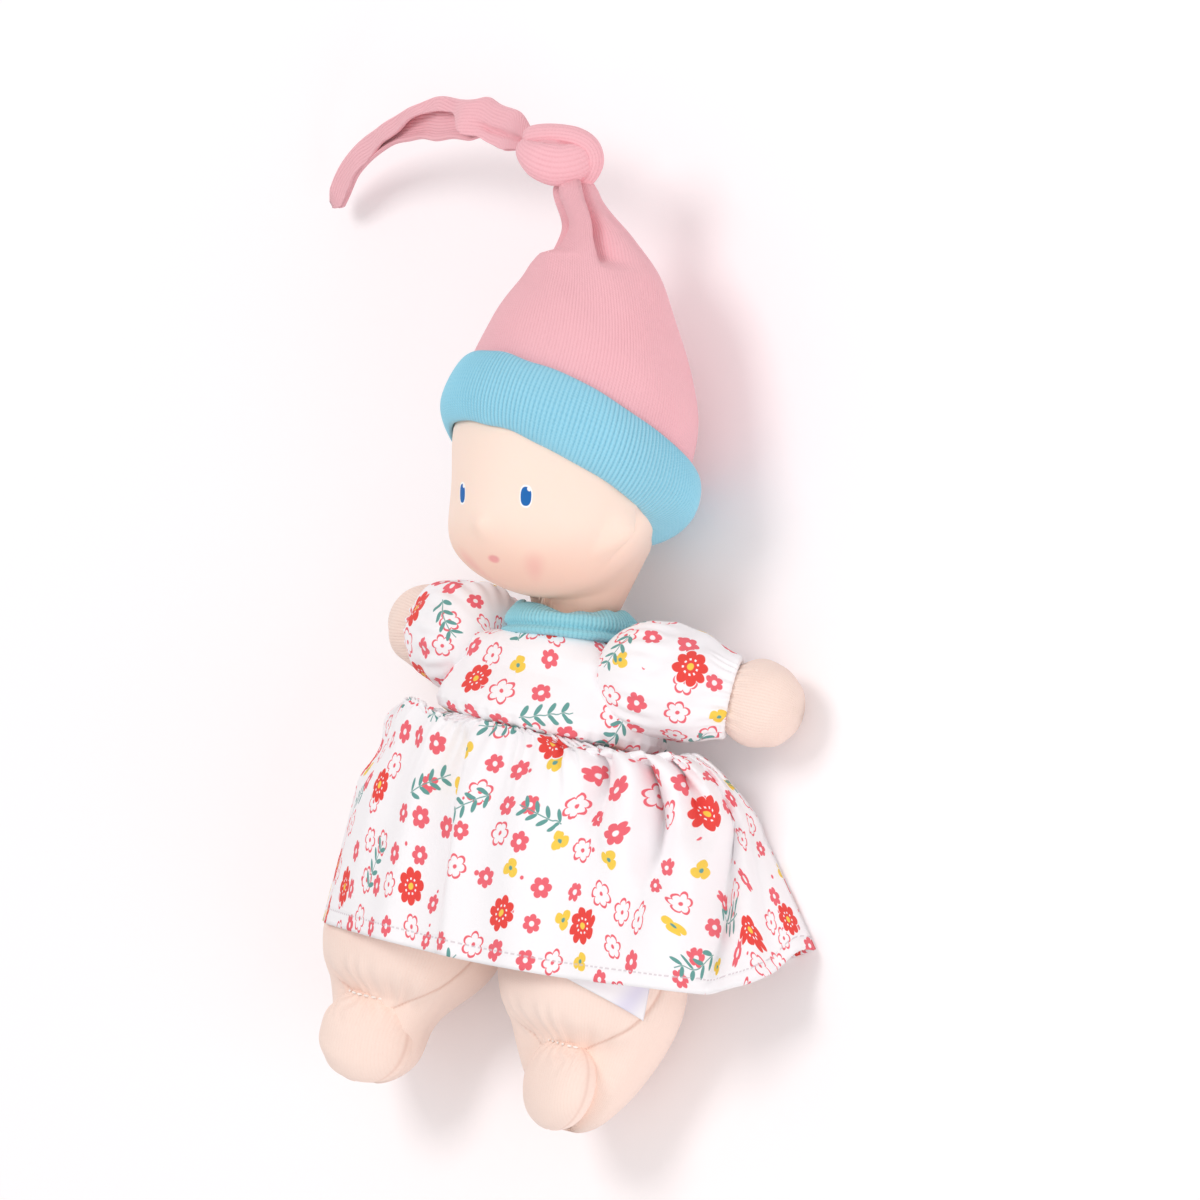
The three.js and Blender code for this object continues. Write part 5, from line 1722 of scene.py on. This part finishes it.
@dataclass
class Trunk:
    """The stuffed body under the dress."""

    low: float = 52.0
    top: float = 103.4
    heights: tuple[float, ...] = (62.0, 75.0, 81.0, 87.5, 97.6)
    widths: tuple[float, ...] = (12.0, 22.0, 24.6, 22.6, 22.4, 20.6, 12.8)
    depths: tuple[float, ...] = (6.0, 13.5, 16.0, 15.0, 14.8, 14.0, 12.8)
    girth: float = 130.0

    def build(self, wardrobe: Wardrobe) -> None:
        """The trunk over turn and height: an oval through stations, closed at both ends."""
        u, v = grid(70, 90, wrap=True)
        turn = TURN * u
        y = mix(self.low, self.top, v)
        heights = [self.low, *self.heights, self.top]
        width = np.interp(y, heights, self.widths)
        depth = np.interp(y, heights, self.depths)
        points = stack(width * np.cos(turn), y, BODY_AXIS_Z + depth * np.sin(turn))
        cloth = np.stack([ring_of(u) * self.girth, closed(y)], axis=-1)
        marks = {"seam": np.zeros_like(u)}
        piece = lay("body_form", points, cloth, wrap=True, caps=(True, True), marks=marks)
        dress(piece, wardrobe.limb, "torso", ["body_bag", "body_filling"])


@dataclass
class Studio:
    """The white surface, the soft light and the camera of the photograph."""

    distance: float = 5.0
    frame_width: float = 0.26667
    target: tuple[float, float, float] = (3.74, 56.48, 19.2)
    floor_size: float = 6.0
    floor_glow: float = 0.11
    sensor: float = 36.0
    view_end: float = 20.0
    lamp_target: tuple[float, float, float] = (0.0, 0.05, 0.02)
    room_light: float = 0.67

    def camera(self) -> None:
        """A long lens over the doll's left, rolled as the photograph is."""
        across, upward, back = (Vector(axis) for axis in view_axes())
        data = bpy.data.cameras.new("camera")
        data.sensor_width = self.sensor
        data.lens = self.sensor * self.distance / self.frame_width
        data.clip_end = self.view_end
        camera = linked("camera", data)
        spot = Vector(self.target) * MM + back * self.distance
        turn = Matrix((across, upward, back)).transposed().to_4x4()
        camera.matrix_world = Matrix.Translation(spot) @ turn
        bpy.context.scene.camera = camera

    def floor(self) -> None:
        """A white sheet that takes the doll's shadow, and glows a little to the camera."""
        half = self.floor_size / 2.0
        mesh = bpy.data.meshes.new("floor")
        corners = [(-half, -half, 0.0), (half, -half, 0.0), (half, half, 0.0), (-half, half, 0.0)]
        mesh.from_pydata(corners, [], [(0, 1, 2, 3)])
        floor = linked("floor", mesh)
        g = Graph("white_sheet")
        matt = g.node("ShaderNodeBsdfDiffuse", {}, {"Color": (0.95, 0.9, 0.91, 1.0)})
        rays = g.node("ShaderNodeLightPath", {}, {})
        seen = Value(g, rays.outputs["Is Camera Ray"]).most(Value(g, rays.outputs["Is Glossy Ray"]))
        seen = seen.most(Value(g, rays.outputs["Is Transmission Ray"]))
        light = {"Color": (1.0, 1.0, 1.0, 1.0), "Strength": seen * self.floor_glow}
        glow = g.node("ShaderNodeEmission", {}, light)
        both = g.node("ShaderNodeAddShader", {}, {0: matt.outputs[0], 1: glow.outputs[0]})
        g.tree.links.new(both.outputs[0], g.output.inputs["Surface"])
        mesh.materials.append(g.material)

    def lamp(self, name: str, spot: tuple[float, float, float], size: float, power: float) -> None:
        """A square lamp that faces the doll."""
        data = bpy.data.lights.new(name, "AREA")
        data.size = size
        data.energy = power
        lamp = linked(name, data)
        aim = Vector(self.lamp_target) - Vector(spot)
        turn = aim.to_track_quat("-Z", "Y").to_matrix().to_4x4()
        lamp.matrix_world = Matrix.Translation(Vector(spot)) @ turn

    def build(self) -> None:
        """Sets the camera, the floor, the two lamps and the even light of the room."""
        self.camera()
        self.floor()
        self.lamp("key", spot=(-0.3, 0.4, 1.2), size=0.45, power=4.8)
        self.lamp("fill", spot=(1.2, -0.3, 0.45), size=0.8, power=5.0)
        scene = bpy.context.scene
        scene.view_settings.view_transform = "Standard"
        world = bpy.data.worlds.new("room")
        world.use_nodes = True
        background = world.node_tree.nodes["Background"]
        background.inputs["Color"].default_value = (1.0, 0.985, 0.985, 1.0)
        background.inputs["Strength"].default_value = self.room_light
        scene.world = world


def dress_hidden(wardrobe: Wardrobe) -> None:
    """Gives the solids that stay, all of them inside the doll, their own finishes."""
    threaded = ("waist_elastic", "left_sleeve_elastic", "right_sleeve_elastic", "neck_tie")
    kept = {node: wardrobe.thread for node in threaded} | {"neck_stopper": wardrobe.plug}
    for node, material in kept.items():
        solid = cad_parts[node]
        solid.data.materials.clear()
        solid.data.materials.append(material)


def main() -> None:
    """Builds the studio and the doll's sub-assemblies in order."""
    logging.basicConfig(level=logging.INFO, format="%(name)s: %(message)s")
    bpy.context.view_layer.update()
    Studio().build()
    wardrobe = Wardrobe()
    dress_hidden(wardrobe)
    Trunk().build(wardrobe)
    left_leg = Leg(Side.LEFT)
    parts = (left_leg, Leg(Side.RIGHT), Arm(Side.LEFT), Arm(Side.RIGHT), CareLabel(left_leg), Head(),
             Hat(), Collar(), Bodice(), Skirt())
    for part in parts:
        part.build(wardrobe)


if __name__ == "__main__":
    main()
